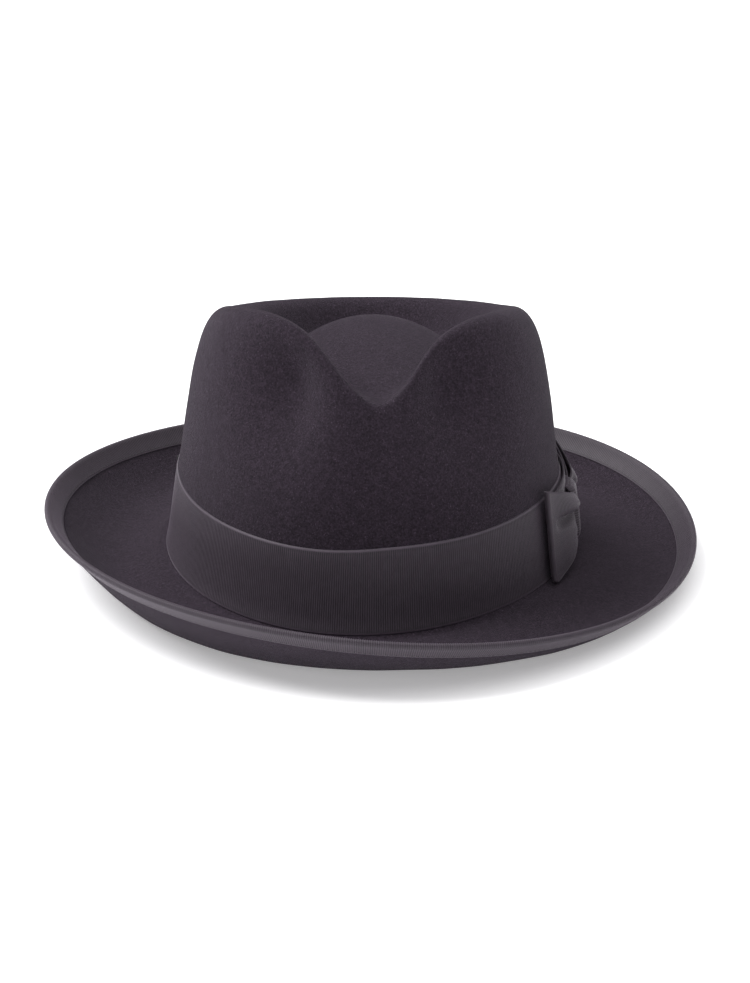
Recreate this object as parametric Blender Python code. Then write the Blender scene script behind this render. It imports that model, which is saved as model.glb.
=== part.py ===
"""Fedora hat: one fur-felt body with a teardrop crown and a bound, turned-up brim, a ribbon band with a
flat bow on the wearer's left, and a leather sweatband and satin lining inside.

Metres, +Z up. The front faces -Y, the bow side is +X, and the brim stands on z = 0. An angle around the
hat is 0 at the front and grows towards +X.
"""

import bpy
import numpy as np

# Felt body
FELT = 0.0020  # thickness
HEAD_A, HEAD_B = 0.0837, 0.1035  # half width and half length of the crown's foot, outside
EDGE_A, EDGE_B, EDGE_X = 0.1361, 0.1591, 0.0013  # half width, half length and sideways place of the brim
EDGE_TAPER = 0.0666  # how much the brim narrows towards the front
FILLET = 0.0045  # rounding between brim and crown
BRIM_REACH = 0.0263  # handle length of the brim's curve at the crown
REST_BLEND = 0.0008  # softness of the brim's landing on the table
BINDING_LIFT, LIFT_START, LIFT_LENGTH = 0.0012, 0.70, 0.15  # room for the binding under a low edge
REST_FLAT = 0.00045  # the underside is flat below this height, where the brim rests

# Crown
RIDGE_A, RIDGE_B, RIDGE_Y = 0.0570, 0.0780, -0.0040  # half width, half length and place of the upper rim
RIDGE_Z, RIDGE_FALL = 0.1095, 0.199  # height at the sides, and fall towards the back
RIDGE_HUMP, RIDGE_CURVE, RIDGE_BLEND = 0.216, 1.67, 0.0252  # extra rise ahead of the sides
LEAN = 0.012  # sideways shift per height
PINCH_V_DEPTH, PINCH_V_X, PINCH_V_HALF, PINCH_V_POWER = 0.0385, 0.0040, 0.0276, 1.67
DENT_X, DENT_Z, DENT_DEPTH, DENT_HALF_X, DENT_HALF_Z = 0.037, 0.098, 0.0135, 0.0175, 0.0235
MOUND_X, MOUND_Y, MOUND_Z = 0.0020, 0.0050, 0.1040  # top of the mound inside the crease
MOUND_ACROSS, MOUND_FRONT, MOUND_BACK = 11.5, 1.75, 7.5  # how it falls away, per metre squared
CREASE_SLOPE, CREASE_ROUND, CREASE_BLEND = 2.1, 0.0045, 0.0050

# Ribbons, thread and leather
GAP = 0.0004  # between pieces that touch
BINDING_WIDTH, BINDING_THICK = 0.0086, 0.00045
BAND_HEIGHT, BAND_THICK, BAND_FOOT = 0.0335, 0.0008, 0.0016
THREAD = 0.00028
SWEAT_HEIGHT, SWEAT_THICK, SWEAT_FOOT = 0.0400, 0.0010, 0.0020
SWEAT_INSET, SWEAT_TOP_INSET = 0.0012, 0.0022
REED_RADIUS, REED_HEIGHT, REED_INSET = 0.0007, 0.0009, 0.0016
ZIGZAG_HEIGHT, ZIGZAG_SWING = 0.0028, 0.0007
TAPE_HEIGHT, TAPE_THICK = 0.0060, 0.00035
LINING_THICK, LINING_FOOT, LINING_BEND = 0.0005, 0.0360, 0.0440
LINING_TOP_Z, LINING_INSET, LINING_TOP_INSET = 0.0675, 0.0005, 0.0125
LINING_DOME = 0.0055  # rise of the tip's middle over its rim
PIPING_RADIUS, TIP_INSET = 0.0010, 0.0026
SHIELD_A, SHIELD_B, SHIELD_THICK = 0.036, 0.046, 0.0004

# Bow, laid along the band: distances along it are from the knot's middle, towards the front
BOW_ANGLE = np.radians(85.5)
BOW_LENGTH, BOW_RIBBON = 0.0480, 0.0008  # of each loop, and thickness
BASE_HALF_LENGTH, BASE_LOW, BASE_HIGH = 0.0360, 0.0030, 0.0325
LOOP_HEIGHT, LOOP_KNOT_HEIGHT = 0.0385, 0.0155
LOOP_MIDDLE, LOOP_KNOT_MIDDLE = 0.0188, 0.0162  # heights of the loop's centre line above the band's foot
LOOP_END_PROUD, LOOP_BULGE, LOOP_KNOT_PROUD = 0.0036, 0.0018, 0.0031
KNOT_HALF_WIDTH, KNOT_MIDDLE, KNOT_HEIGHT, KNOT_PROUD = 0.0085, 0.0162, 0.0235, 0.0054
KNOT_CORNER = 0.0020, 0.0030  # how far in and along the wrap's corners are cut

SAMPLES = 64  # around the outside pieces
INNER_SAMPLES = 32  # around the pieces inside the crown

FELT_COLOUR = (0.032, 0.027, 0.034)
RIBBON_COLOUR = (0.026, 0.023, 0.028)
THREAD_COLOUR = (0.020, 0.018, 0.022)
LEATHER_COLOUR = (0.030, 0.018, 0.012)
SATIN_COLOUR = (0.30, 0.30, 0.32)


def angles(count):
    return np.linspace(0.0, 2.0 * np.pi, count, endpoint=False)


def smooth_max(a, b, blend):
    return 0.5 * (a + b + np.sqrt((a - b) ** 2 + blend**2))


def bezier(points, t):
    """Cubic curves side by side: four arrays (angle, axis) and parameters t, giving (t, angle, axis)."""
    t = np.asarray(t)[:, None, None]
    a, b, c, d = points
    return (1 - t) ** 3 * a + 3 * (1 - t) ** 2 * t * b + 3 * (1 - t) * t**2 * c + t**3 * d


# ---- where the felt's outer surface lies -------------------------------------------------------------

def break_height(phi):
    """Height of the brim's upper face where it meets the crown: lowest at the front and back."""
    return 0.0065 - 0.0024 * np.cos(2 * phi) - 0.0008 * np.sin(phi) + 0.0014 * np.sin(2 * phi)


def edge_height(phi):
    """Height of the brim's edge: turned up all round, most on the wearer's right."""
    even = 0.0196 + 0.0022 * np.cos(phi) + 0.0013 * np.cos(2 * phi) + 0.0010 * np.cos(3 * phi)
    odd = 0.0067 * np.sin(phi) + 0.0027 * np.sin(2 * phi) - 0.0004 * np.sin(3 * phi)
    return even - odd


def edge_tilt(phi):
    """How steeply the brim rises at its edge: most at the back."""
    return np.radians(47.8 + 0.7 * np.sin(phi) - 6.3 * np.cos(phi) + 2.1 * np.cos(2 * phi))


def brim_dip(phi):
    """How steeply the brim falls away from the crown: most on the wearer's right, where it starts highest."""
    return np.radians(19.7 - 15.0 * np.sin(phi) - 5.2 * np.cos(phi) - 8.0 * np.cos(2 * phi))


def edge_curl(phi):
    """Handle length of the brim's curve at its edge: longest at the front."""
    return 0.0245 + 0.0016 * np.sin(phi) + 0.0045 * np.cos(phi) + 0.0013 * np.cos(2 * phi)


def head_oval(phi):
    return np.stack([HEAD_A * np.sin(phi), -HEAD_B * np.cos(phi)], -1)


def facing(phi):
    """Horizontal direction square to the crown's foot, pointing out."""
    way = np.stack([HEAD_B * np.sin(phi), -HEAD_A * np.cos(phi)], -1)
    return way / np.linalg.norm(way, axis=1, keepdims=True)


def edge_oval(phi):
    x = EDGE_X + EDGE_A * np.sin(phi) * (1 - EDGE_TAPER * np.cos(phi))
    return np.stack([x, -EDGE_B * np.cos(phi)], -1)


def v_share(x):
    """1 in the middle of the front pinch's V, 0 outside it."""
    return np.exp(-(np.abs(x - PINCH_V_X) / PINCH_V_HALF) ** PINCH_V_POWER)


def ridge(phi):
    """The crown's upper rim: rising to the front, with the V of the pinch cut into it."""
    xy = np.stack([RIDGE_A * np.sin(phi), RIDGE_Y - RIDGE_B * np.cos(phi)], -1)
    y = xy[:, 1]
    ahead = 0.5 * (np.sqrt(y**2 + RIDGE_BLEND**2) - y)
    z = RIDGE_Z - RIDGE_FALL * y + RIDGE_HUMP * ahead - RIDGE_CURVE * ahead**2
    z -= PINCH_V_DEPTH * v_share(xy[:, 0]) * np.clip(-y / 0.03, 0, 1)
    return np.concatenate([xy, z[:, None]], -1)


def leaned(points):
    """The crown and brim sit a little to the bow's side as they rise."""
    points = points.copy()
    points[..., 0] += LEAN * points[..., 2]
    return points


def outward(phi):
    """Horizontal direction from the crown's foot to the brim's edge."""
    way = edge_oval(phi) - head_oval(phi)
    return way / np.linalg.norm(way, axis=1, keepdims=True)


def brim_curve(phi, t):
    """The brim's upper face from the fillet (t = 0) to the edge (t = 1)."""
    reach = np.linalg.norm(edge_oval(phi) - head_oval(phi), axis=1)
    tilt = edge_tilt(phi)
    start = np.stack([np.full_like(reach, FILLET), break_height(phi)], -1)
    end = np.stack([reach, edge_height(phi)], -1)
    dip = BRIM_REACH * np.stack([np.cos(brim_dip(phi)), -np.sin(brim_dip(phi))], -1)
    curl = edge_curl(phi)[:, None] * np.stack([np.cos(tilt), np.sin(tilt)], -1)
    curve = bezier((start, start + dip, end - curl, end), t)
    near_edge = np.clip((np.asarray(t)[:, None] - LIFT_START) / LIFT_LENGTH, 0, 1)
    height = smooth_max(curve[..., 1], FELT + BINDING_LIFT * near_edge, REST_BLEND)
    xy = head_oval(phi) + outward(phi) * curve[..., :1]
    return leaned(np.concatenate([xy, height[..., None]], -1))


def fillet_curve(phi, t):
    """The rounding from the brim (t = 0) up into the crown's wall (t = 1)."""
    turn = np.asarray(t)[:, None] * np.pi / 2
    out = FILLET * (1 - np.sin(turn)) * np.ones_like(phi)
    height = break_height(phi) + FILLET * (1 - np.cos(turn))
    xy = head_oval(phi) + outward(phi) * out[..., None]
    return leaned(np.concatenate([xy, height[..., None]], -1))


def dent_share(points):
    """Strength of the two pinch dents beside the crown's nose."""
    x, y, z = points[..., 0], points[..., 1], points[..., 2]
    sides = sum(np.exp(-(((x - side * DENT_X) / DENT_HALF_X) ** 2)) for side in (-1, 1))
    return sides * np.exp(-(((z - DENT_Z) / DENT_HALF_Z) ** 2)) * np.clip((-y - 0.02) / 0.03, 0, 1)


def wall_curve(phi, t):
    """The crown's outer wall from the fillet (t = 0) to the rim (t = 1)."""
    rim = ridge(phi)
    foot = head_oval(phi)
    way = rim[:, :2] - foot
    inset = np.linalg.norm(way, axis=1)
    low = break_height(phi) + FILLET
    rise = rim[:, 2] - low
    nose = v_share(rim[:, 0]) * (np.cos(phi) > 0)

    def handle(inset_share, rise_share, nose_inset_share, nose_rise_share):
        across = inset * (inset_share + (nose_inset_share - inset_share) * nose)
        up = rise * (rise_share + (nose_rise_share - rise_share) * nose)
        return np.stack([across, low + up], -1)

    ends = handle(0, 0, 0, 0), handle(1, 1, 1, 1)
    curve = bezier((ends[0], handle(0.36, 0.733, 0.45, 0.62), handle(0.43, 1.0, 0.86, 0.985), ends[1]), t)
    inward = way / inset[:, None]
    points = np.concatenate([foot + inward * curve[..., :1], curve[..., 1:]], -1)
    points[..., :2] += inward * DENT_DEPTH * dent_share(points)[..., None]
    return leaned(points)


def tip_surface(phi, share):
    """The crown's top from the rim (share = 0) to its middle (share = 1): a mound inside the crease."""
    rim = wall_curve(phi, [1.0])[0]
    middle = np.array([MOUND_X, MOUND_Y])
    share = np.asarray(share)[:, None]
    xy = rim[:, :2] + (middle - rim[:, :2]) * share[..., None]
    inside = np.linalg.norm(rim[:, :2] - middle, axis=1) * share
    soft = CREASE_SLOPE * CREASE_ROUND
    flank = rim[:, 2] - CREASE_SLOPE * (np.sqrt(inside**2 + soft**2) - soft)
    ahead = xy[..., 1] - MOUND_Y
    fall = np.where(ahead < 0, MOUND_FRONT, MOUND_BACK) * ahead**2
    mound = MOUND_Z - MOUND_ACROSS * (xy[..., 0] - MOUND_X) ** 2 - fall
    height = smooth_max(mound, flank, CREASE_BLEND)
    height -= (height[0] - rim[:, 2]) * np.exp(-((inside / 0.008) ** 2))
    return np.concatenate([xy, height[..., None]], -1)


def along(rings, lengths):
    """Points at set distances along each curve of a (point, angle, axis) array."""
    steps = np.linalg.norm(np.diff(rings, axis=0), axis=2)
    travelled = np.concatenate([np.zeros((1, rings.shape[1])), np.cumsum(steps, axis=0)])
    result = np.empty((lengths.shape[0],) + rings.shape[1:])
    for column in range(rings.shape[1]):
        for axis in range(3):
            result[:, column, axis] = np.interp(
                lengths[:, column], travelled[:, column], rings[:, column, axis]
            )
    return result


def brim_rings(phi):
    """Rings from the edge inwards: three under the binding, then the rest of the brim."""
    fine = brim_curve(phi, np.linspace(1, 0, 80))
    whole = np.linalg.norm(np.diff(fine, axis=0), axis=2).sum(axis=0)
    bound = np.array([0.0, 0.5, 1.0])[:, None] * BINDING_WIDTH * np.ones_like(phi)
    rest = BINDING_WIDTH + (whole - BINDING_WIDTH) * np.linspace(0, 1, 8)[1:, None]
    return along(fine, np.concatenate([bound, rest]))


def normals(rings):
    """Unit normals of a surface given as rings, pointing out of the hat."""
    around = np.roll(rings, -1, axis=1) - np.roll(rings, 1, axis=1)
    across = np.gradient(rings, axis=0)
    normal = np.cross(around, across)
    return normal / np.linalg.norm(normal, axis=2, keepdims=True)


def felt_rings(phi):
    """The felt's outer surface in rings, from the brim's edge to the last ring around the tip's middle."""
    return np.concatenate(
        [
            brim_rings(phi)[:-1],
            fillet_curve(phi, [0.0, 0.55]),
            wall_curve(phi, np.array([0.0, 0.12, 0.24, 0.36, 0.48, 0.60, 0.72, 0.83, 0.92, 1.0])),
            tip_surface(phi, np.array([0.04, 0.10, 0.18, 0.28, 0.40, 0.55, 0.75])),
        ]
    )


# ---- building solids ---------------------------------------------------------------------------------

def material(name, colour, roughness):
    """A finish with no metal in it."""
    result = bpy.data.materials.new(name)
    result.use_nodes = True
    shader = result.node_tree.nodes["Principled BSDF"]
    shader.inputs["Base Color"].default_value = (*colour, 1.0)
    shader.inputs["Roughness"].default_value = roughness
    shader.inputs["Metallic"].default_value = 0.0
    return result


def add_object(name, points, faces, finish):
    mesh = bpy.data.meshes.new(name)
    mesh.from_pydata([tuple(map(float, point)) for point in points], [], faces)
    mesh.materials.append(finish)
    mesh.shade_smooth()
    mesh.set_sharp_from_angle(angle=np.radians(40))
    result = bpy.data.objects.new(name, mesh)
    bpy.context.collection.objects.link(result)
    return result


def quads_between(first, second, count, closed=True):
    """Faces between two rows of point numbers."""
    last = count if closed else count - 1
    return [
        (first + i, first + (i + 1) % count, second + (i + 1) % count, second + i) for i in range(last)
    ]


def ring_solid(name, section, finish):
    """A closed band around the hat: section is (point, angle, axis), its points going round the section."""
    rows, count = section.shape[:2]
    faces = []
    for row in range(rows):
        faces += quads_between(row * count, (row + 1) % rows * count, count)
    return add_object(name, section.reshape(-1, 3), faces, finish)


def domed_solid(name, upper, lower, upper_pole, lower_pole, finish):
    """A shell with no hole: rings from its middle out over one face, and back in along the other."""
    section = np.concatenate([upper, lower[::-1]])
    rows, count = section.shape[:2]
    faces = []
    for row in range(rows - 1):
        faces += quads_between((row + 1) * count, row * count, count)
    first_pole, last_pole = rows * count, rows * count + 1
    last_row = (rows - 1) * count
    faces += [(first_pole, i, (i + 1) % count) for i in range(count)]
    faces += [(last_row + (i + 1) % count, last_row + i, last_pole) for i in range(count)]
    points = np.concatenate([section.reshape(-1, 3), [upper_pole], [lower_pole]])
    return add_object(name, points, faces, finish)


def strip_solid(name, section, finish):
    """An open strip: section is (station, point, axis), the points going round each cross-section."""
    stations, count = section.shape[:2]
    faces = []
    for station in range(stations - 1):
        faces += quads_between(station * count, (station + 1) * count, count)
    last = (stations - 1) * count
    faces += [tuple(reversed(range(count))), tuple(range(last, last + count))]
    return add_object(name, section.reshape(-1, 3), faces, finish)


def band_section(inner, outer):
    """A ribbon's section from rings of its inner and outer faces, both from the foot up."""
    return np.concatenate([outer, inner[::-1]])


def tube_section(centre, side, up, radius, count):
    """A round cord's section around ring-shaped centre points, with two unit directions across it."""
    turns = angles(count)[:, None, None]
    return centre + radius * (np.cos(turns) * side + np.sin(turns) * up)


# ---- pieces on the outside ---------------------------------------------------------------------------

def make_felt_body(finish):
    rings = felt_rings(angles(SAMPLES))
    under = rings - FELT * normals(rings)
    under[..., 2] = np.where(under[..., 2] < REST_FLAT, 0.0, under[..., 2])
    pole = np.array([MOUND_X, MOUND_Y, MOUND_Z])
    return domed_solid("felt_body", rings[::-1], under[::-1], pole, pole - [0, 0, FELT], finish)


def bound_edge():
    """The felt's three outermost rings on both faces, with their normals, and the way out past the edge."""
    rings = felt_rings(angles(SAMPLES))
    normal = normals(rings)[:3]
    top = rings[:3]
    under = top - FELT * normal
    out = top[0] - top[1]
    return top, under, normal, out / np.linalg.norm(out, axis=1, keepdims=True)


def make_brim_binding(finish):
    top, under, normal, out = bound_edge()

    def folded(clear):
        upper = top + clear * normal
        upper[0] += clear * 0.6 * out
        lower = under - clear * normal
        lower[0] += clear * 0.6 * out
        fold = 0.5 * (top[0] + under[0]) + clear * 1.3 * out
        return np.concatenate([upper[::-1], fold[None], lower])

    inner, outer = folded(GAP), folded(GAP + BINDING_THICK)
    return ring_solid("brim_binding", np.concatenate([outer, inner[::-1]])[::-1], finish)


def make_binding_stitch(name, above, finish):
    """A row of thread near the binding's inner edge, on one face of the brim."""
    top, under, normal, out = bound_edge()
    face, way = (top, normal) if above else (under, -normal)
    share = 0.55
    centre = face[1] * (1 - share) + face[2] * share
    normal_here = way[1] * (1 - share) + way[2] * share
    centre = centre + normal_here * (GAP + BINDING_THICK + GAP + THREAD)
    side = out if above else -out
    return ring_solid(name, tube_section(centre, side, normal_here, THREAD, 3), finish)


def crown_face(phi):
    """The crown's outer surface from the band's foot to its top, in rings."""
    foot_turn = np.arccos(1 - BAND_FOOT / FILLET) * 2 / np.pi
    return np.concatenate([fillet_curve(phi, [foot_turn]), wall_curve(phi, np.linspace(0.0, 0.3, 6))])


def band_face(phi, heights, proud):
    """Points standing proud of the crown at heights above the band's foot: (height, angle, axis)."""
    rings = crown_face(phi)
    heights, proud = (np.broadcast_to(value, (len(heights), len(phi))) for value in (heights, proud))
    result = np.empty(heights.shape + (3,))
    for column in range(len(phi)):
        levels = rings[:, column, 2] - rings[0, column, 2]
        for axis in range(3):
            result[:, column, axis] = np.interp(heights[:, column], levels, rings[:, column, axis])
    result[..., :2] += proud[..., None] * facing(phi)
    return result


def make_hat_band(finish):
    levels = np.array([0.0, 0.1, 0.55, 1.0])[:, None] * BAND_HEIGHT
    phi = angles(SAMPLES)
    inner, outer = band_face(phi, levels, GAP), band_face(phi, levels, GAP + BAND_THICK)
    return ring_solid("hat_band", band_section(inner, outer), finish)


def make_band_tack(number, angle, finish):
    """One short bar of thread that holds the band's upper edge."""
    phi = angle + np.array([-0.005, 0.005])
    low = BAND_HEIGHT - 0.0030
    heights = np.array([[low], [low + 0.0020]])
    back = band_face(phi, heights, GAP + BAND_THICK + GAP)
    front = band_face(phi, heights, GAP + BAND_THICK + GAP + THREAD)
    section = np.stack([[back[i, 0], front[i, 0], front[i, 1], back[i, 1]] for i in (0, 1)])
    return strip_solid(f"band_tack_{number}", section, finish)


# ---- the bow -----------------------------------------------------------------------------------------

def bow_points(distance, proud, height):
    """Places on the bow: distance along the band from the knot, how proud of the band, height on the band."""
    distance, proud, height = np.broadcast_arrays(distance, proud, height)
    phi = BOW_ANGLE - distance.ravel() / HEAD_B
    clear = GAP + BAND_THICK
    points = band_face(phi, height.ravel()[None], proud.ravel()[None] + clear)
    return points.reshape(distance.shape + (3,))


def ribbon_strip(name, distance, proud, low, high, finish):
    """A ribbon standing on edge: it follows a path along and away from the band, between two heights."""
    way = np.stack([np.gradient(distance), np.gradient(proud)], -1)
    way /= np.linalg.norm(way, axis=1, keepdims=True)
    half = BOW_RIBBON / 2
    left = distance - half * way[:, 1], proud + half * way[:, 0]
    right = distance + half * way[:, 1], proud - half * way[:, 0]
    corners = (left, low), (left, high), (right, high), (right, low)
    section = [bow_points(*place, height) for place, height in corners]
    return strip_solid(name, np.stack(section, axis=1), finish)


def make_bow_base(finish):
    distance = np.linspace(-BASE_HALF_LENGTH, BASE_HALF_LENGTH, 9)
    proud = np.full_like(distance, GAP + BOW_RIBBON / 2)
    return ribbon_strip("bow_base", distance, proud, BASE_LOW, BASE_HIGH, finish)


def make_bow_loop(name, forward, finish):
    """A flat loop: out along the band, round its end, and back over itself to the knot."""
    start, bend = 0.0030, BOW_LENGTH - 0.0020
    low_path = GAP * 2 + BOW_RIBBON * 1.5
    share = np.linspace(0, 1, 6)
    radius = (LOOP_END_PROUD - low_path) / 2
    turn = np.linspace(-np.pi / 2, np.pi / 2, 5)[1:-1]
    back = share[::-1]
    back_proud = LOOP_KNOT_PROUD + (LOOP_END_PROUD - LOOP_KNOT_PROUD) * back
    back_proud += LOOP_BULGE * np.sin(np.pi * back) ** 2
    out = start + (bend - start) * share
    distance = np.concatenate([out, bend + radius * np.cos(turn), out[::-1]])
    turn_proud = low_path + radius + radius * np.sin(turn)
    proud = np.concatenate([np.full_like(share, low_path), turn_proud, back_proud])
    spread = np.clip((distance - KNOT_HALF_WIDTH) / (bend - KNOT_HALF_WIDTH), 0, 1)
    height = LOOP_KNOT_HEIGHT + (LOOP_HEIGHT - LOOP_KNOT_HEIGHT) * spread
    middle = LOOP_KNOT_MIDDLE + (LOOP_MIDDLE - LOOP_KNOT_MIDDLE) * spread
    way = 1 if forward else -1
    return ribbon_strip(name, distance * way, proud, middle - height / 2, middle + height / 2, finish)


def make_bow_knot(finish):
    """The ribbon wrapped over the bow's middle: a front face with its upper and lower edges folded in."""

    def outline(proud, half, corner):
        """Proud and height of the wrap's points, from its lower foot up and over to its upper foot."""
        deep = GAP * 2 + BOW_RIBBON
        lower = [(deep, -half), (proud - corner[0], -half), (proud, corner[1] - half)]
        return lower + [(out, -height) for out, height in reversed(lower)]

    half = KNOT_HEIGHT / 2
    outside = outline(KNOT_PROUD, half, KNOT_CORNER)
    inside = outline(KNOT_PROUD - BOW_RIBBON, half - BOW_RIBBON, np.subtract(KNOT_CORNER, BOW_RIBBON / 2))
    proud, height = np.array(outside + inside[::-1]).T
    stations = np.linspace(-KNOT_HALF_WIDTH, KNOT_HALF_WIDTH, 5)
    section = [bow_points(np.full_like(proud, s), proud, KNOT_MIDDLE + height) for s in stations]
    return strip_solid("bow_knot", np.stack(section), finish)


def make_bow_stitch(finish):
    """A bar of thread that ties the knot down at its lower edge."""
    top = KNOT_MIDDLE - KNOT_HEIGHT / 2 - GAP
    stations = np.array([-0.0025, 0.0025])
    outline = np.array([(0.0016, -0.0006), (0.0022, -0.0006), (0.0022, 0.0), (0.0016, 0.0)])
    section = [bow_points(np.full(len(outline), s), outline[:, 0], top + outline[:, 1]) for s in stations]
    return strip_solid("bow_stitch", np.stack(section), finish)


# ---- pieces inside the crown -------------------------------------------------------------------------

def inside_wall(phi, height, inset):
    """Points inset from the felt's inner face at set heights: (height, angle, axis)."""
    fillet, wall = fillet_curve(phi, np.linspace(0, 1, 8)), wall_curve(phi, np.linspace(0, 1, 40))
    rings = np.concatenate([fillet, wall[1:]])
    height = np.broadcast_to(height, (len(height), len(phi)))
    result = np.empty(height.shape + (3,))
    for column in range(len(phi)):
        levels = rings[:, column, 2]
        for axis in (0, 1):
            result[:, column, axis] = np.interp(height[:, column], levels, rings[:, column, axis])
    result[..., :2] -= (FELT + np.broadcast_to(inset, height.shape))[..., None] * facing(phi)
    result[..., 2] = height
    return result


def above_break(phi, heights):
    return break_height(phi) + np.asarray(heights)[:, None]


def sweat_inset(share):
    return SWEAT_INSET + (SWEAT_TOP_INSET - SWEAT_INSET) * np.asarray(share)


def make_sweatband(finish):
    phi = angles(INNER_SAMPLES)
    share = np.array([0.0, 0.4, 0.75, 1.0])
    height = above_break(phi, SWEAT_FOOT + SWEAT_HEIGHT * share)
    outer = inside_wall(phi, height, sweat_inset(share)[:, None])
    inner = inside_wall(phi, height, sweat_inset(share)[:, None] + SWEAT_THICK)
    return ring_solid("sweatband", band_section(inner, outer), finish)


def level_ring(name, phi, centre, radius, sides, finish):
    """A cord or thread laid round the inside of the crown."""
    side = np.stack([np.sin(phi), -np.cos(phi), np.zeros_like(phi)], -1)
    up = np.array([0.0, 0.0, 1.0])
    return ring_solid(name, tube_section(centre, side, up, radius, sides), finish)


def make_sweatband_reed(finish):
    phi = angles(INNER_SAMPLES)
    centre = inside_wall(phi, above_break(phi, [REED_HEIGHT]), REED_INSET)[0]
    return level_ring("sweatband_reed", phi, centre, REED_RADIUS, 4, finish)


def make_reed_tape(finish):
    phi = angles(INNER_SAMPLES)
    height = above_break(phi, [SWEAT_FOOT + GAP, SWEAT_FOOT + TAPE_HEIGHT])
    outer = inside_wall(phi, height, GAP)
    inner = inside_wall(phi, height, GAP + TAPE_THICK)
    return ring_solid("reed_tape", band_section(inner, outer), finish)


def make_sweatband_stitching(finish):
    """A zigzag of thread round the leather's lower edge."""
    phi = angles(4 * INNER_SAMPLES)
    swing = ZIGZAG_SWING * np.where(np.arange(len(phi)) % 2 == 0, 1, -1)
    height = (break_height(phi) + SWEAT_FOOT + ZIGZAG_HEIGHT + swing)[None]
    inset = SWEAT_INSET + SWEAT_THICK + 1.5 * GAP + THREAD
    centre = inside_wall(phi, height, inset)[0]
    return level_ring("sweatband_stitching", phi, centre, THREAD, 3, finish)


def leather_patch(name, angle, half_width, low, high, proud, thick, finish):
    """A small flat piece lying on the leather's inner face."""
    phi = angle + np.linspace(-half_width, half_width, 3) / HEAD_B
    share = np.array([low, high])
    height = above_break(phi, SWEAT_FOOT + SWEAT_HEIGHT * share)
    face = sweat_inset(share)[:, None] + SWEAT_THICK + proud
    back, front = inside_wall(phi, height, face), inside_wall(phi, height, face + thick)
    section = np.stack([[back[0, i], front[0, i], front[1, i], back[1, i]] for i in range(3)])
    return strip_solid(name, section, finish)


def make_sweatband_rear_bow(finish):
    """A tiny flat bow on the leather's seam: narrow in the middle, with two wide ends."""
    distance = np.array([-0.0080, -0.0050, -0.0012, 0.0012, 0.0050, 0.0080])
    half_height = np.array([0.0030, 0.0034, 0.0014, 0.0014, 0.0034, 0.0030])
    depth = np.array([0.0010, 0.0016, 0.0020, 0.0020, 0.0016, 0.0010])
    phi = np.pi + distance / HEAD_B
    middle = break_height(phi) + SWEAT_FOOT + 0.0080
    height = np.stack([middle - half_height, middle + half_height])
    face = SWEAT_TOP_INSET + SWEAT_THICK + 0.0012
    back, front = inside_wall(phi, height, face), inside_wall(phi, height, face + depth)
    section = np.stack([[back[0, i], front[0, i], front[1, i], back[1, i]] for i in range(len(phi))])
    return strip_solid("sweatband_rear_bow", section, finish)


def lining_section(phi, extra):
    """Upright behind the leather, then leaning in to the lining's tip."""
    share = np.array([0.0, 0.35, 0.7, 1.0])
    bend = break_height(phi) + LINING_BEND
    lean_heights = bend + (LINING_TOP_Z - bend) * share[:, None]
    height = np.concatenate([above_break(phi, [LINING_FOOT]), lean_heights])
    inset = LINING_INSET + (LINING_TOP_INSET - LINING_INSET) * np.concatenate([[0.0], share**1.6])
    return inside_wall(phi, height, inset[:, None] + extra)


def make_lining_side(finish):
    phi = angles(INNER_SAMPLES)
    section = band_section(lining_section(phi, LINING_THICK), lining_section(phi, 0.0))
    return ring_solid("lining_side", section, finish)


def lining_rim(phi, inset):
    """The oval where the lining's side ends and its tip begins."""
    height = np.full((1, len(phi)), LINING_TOP_Z + PIPING_RADIUS + 1.5 * GAP)
    return inside_wall(phi, height, LINING_TOP_INSET + inset)[0]


def make_lining_piping(finish):
    phi = angles(INNER_SAMPLES)
    return level_ring("lining_piping", phi, lining_rim(phi, PIPING_RADIUS), PIPING_RADIUS, 6, finish)


def domed_panel(name, rim, share, drop, thick, finish):
    """A shallow dome under the lining's rim plane: share (ring, angle) says how far out each ring lies."""
    middle = rim.mean(axis=0)

    def face(extra):
        points = middle + (rim - middle) * share[..., None]
        points[..., 2] += LINING_DOME * (1 - share**2) - drop - extra
        return points

    pole = middle + [0, 0, LINING_DOME - drop]
    return domed_solid(name, face(0), face(thick), pole, pole - [0, 0, thick], finish)


def make_lining_tip(finish):
    rim = lining_rim(angles(INNER_SAMPLES), TIP_INSET)
    share = np.array([0.35, 0.65, 0.88, 1.0])[:, None] * np.ones(INNER_SAMPLES)
    return domed_panel("lining_tip", rim, share, 0.0, LINING_THICK, finish)


def make_tip_shield(finish):
    """The clear oval sewn under the lining's tip."""
    phi = angles(INNER_SAMPLES)
    rim = lining_rim(phi, TIP_INSET)
    middle = rim.mean(axis=0)
    oval = np.stack([SHIELD_A * np.sin(phi), -SHIELD_B * np.cos(phi)], -1)
    reach = np.linalg.norm(oval, axis=1) / np.linalg.norm((rim - middle)[:, :2], axis=1)
    share = np.array([0.4, 0.7, 1.0])[:, None] * reach
    return domed_panel("tip_shield", rim, share, LINING_THICK + GAP, SHIELD_THICK, finish)


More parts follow.
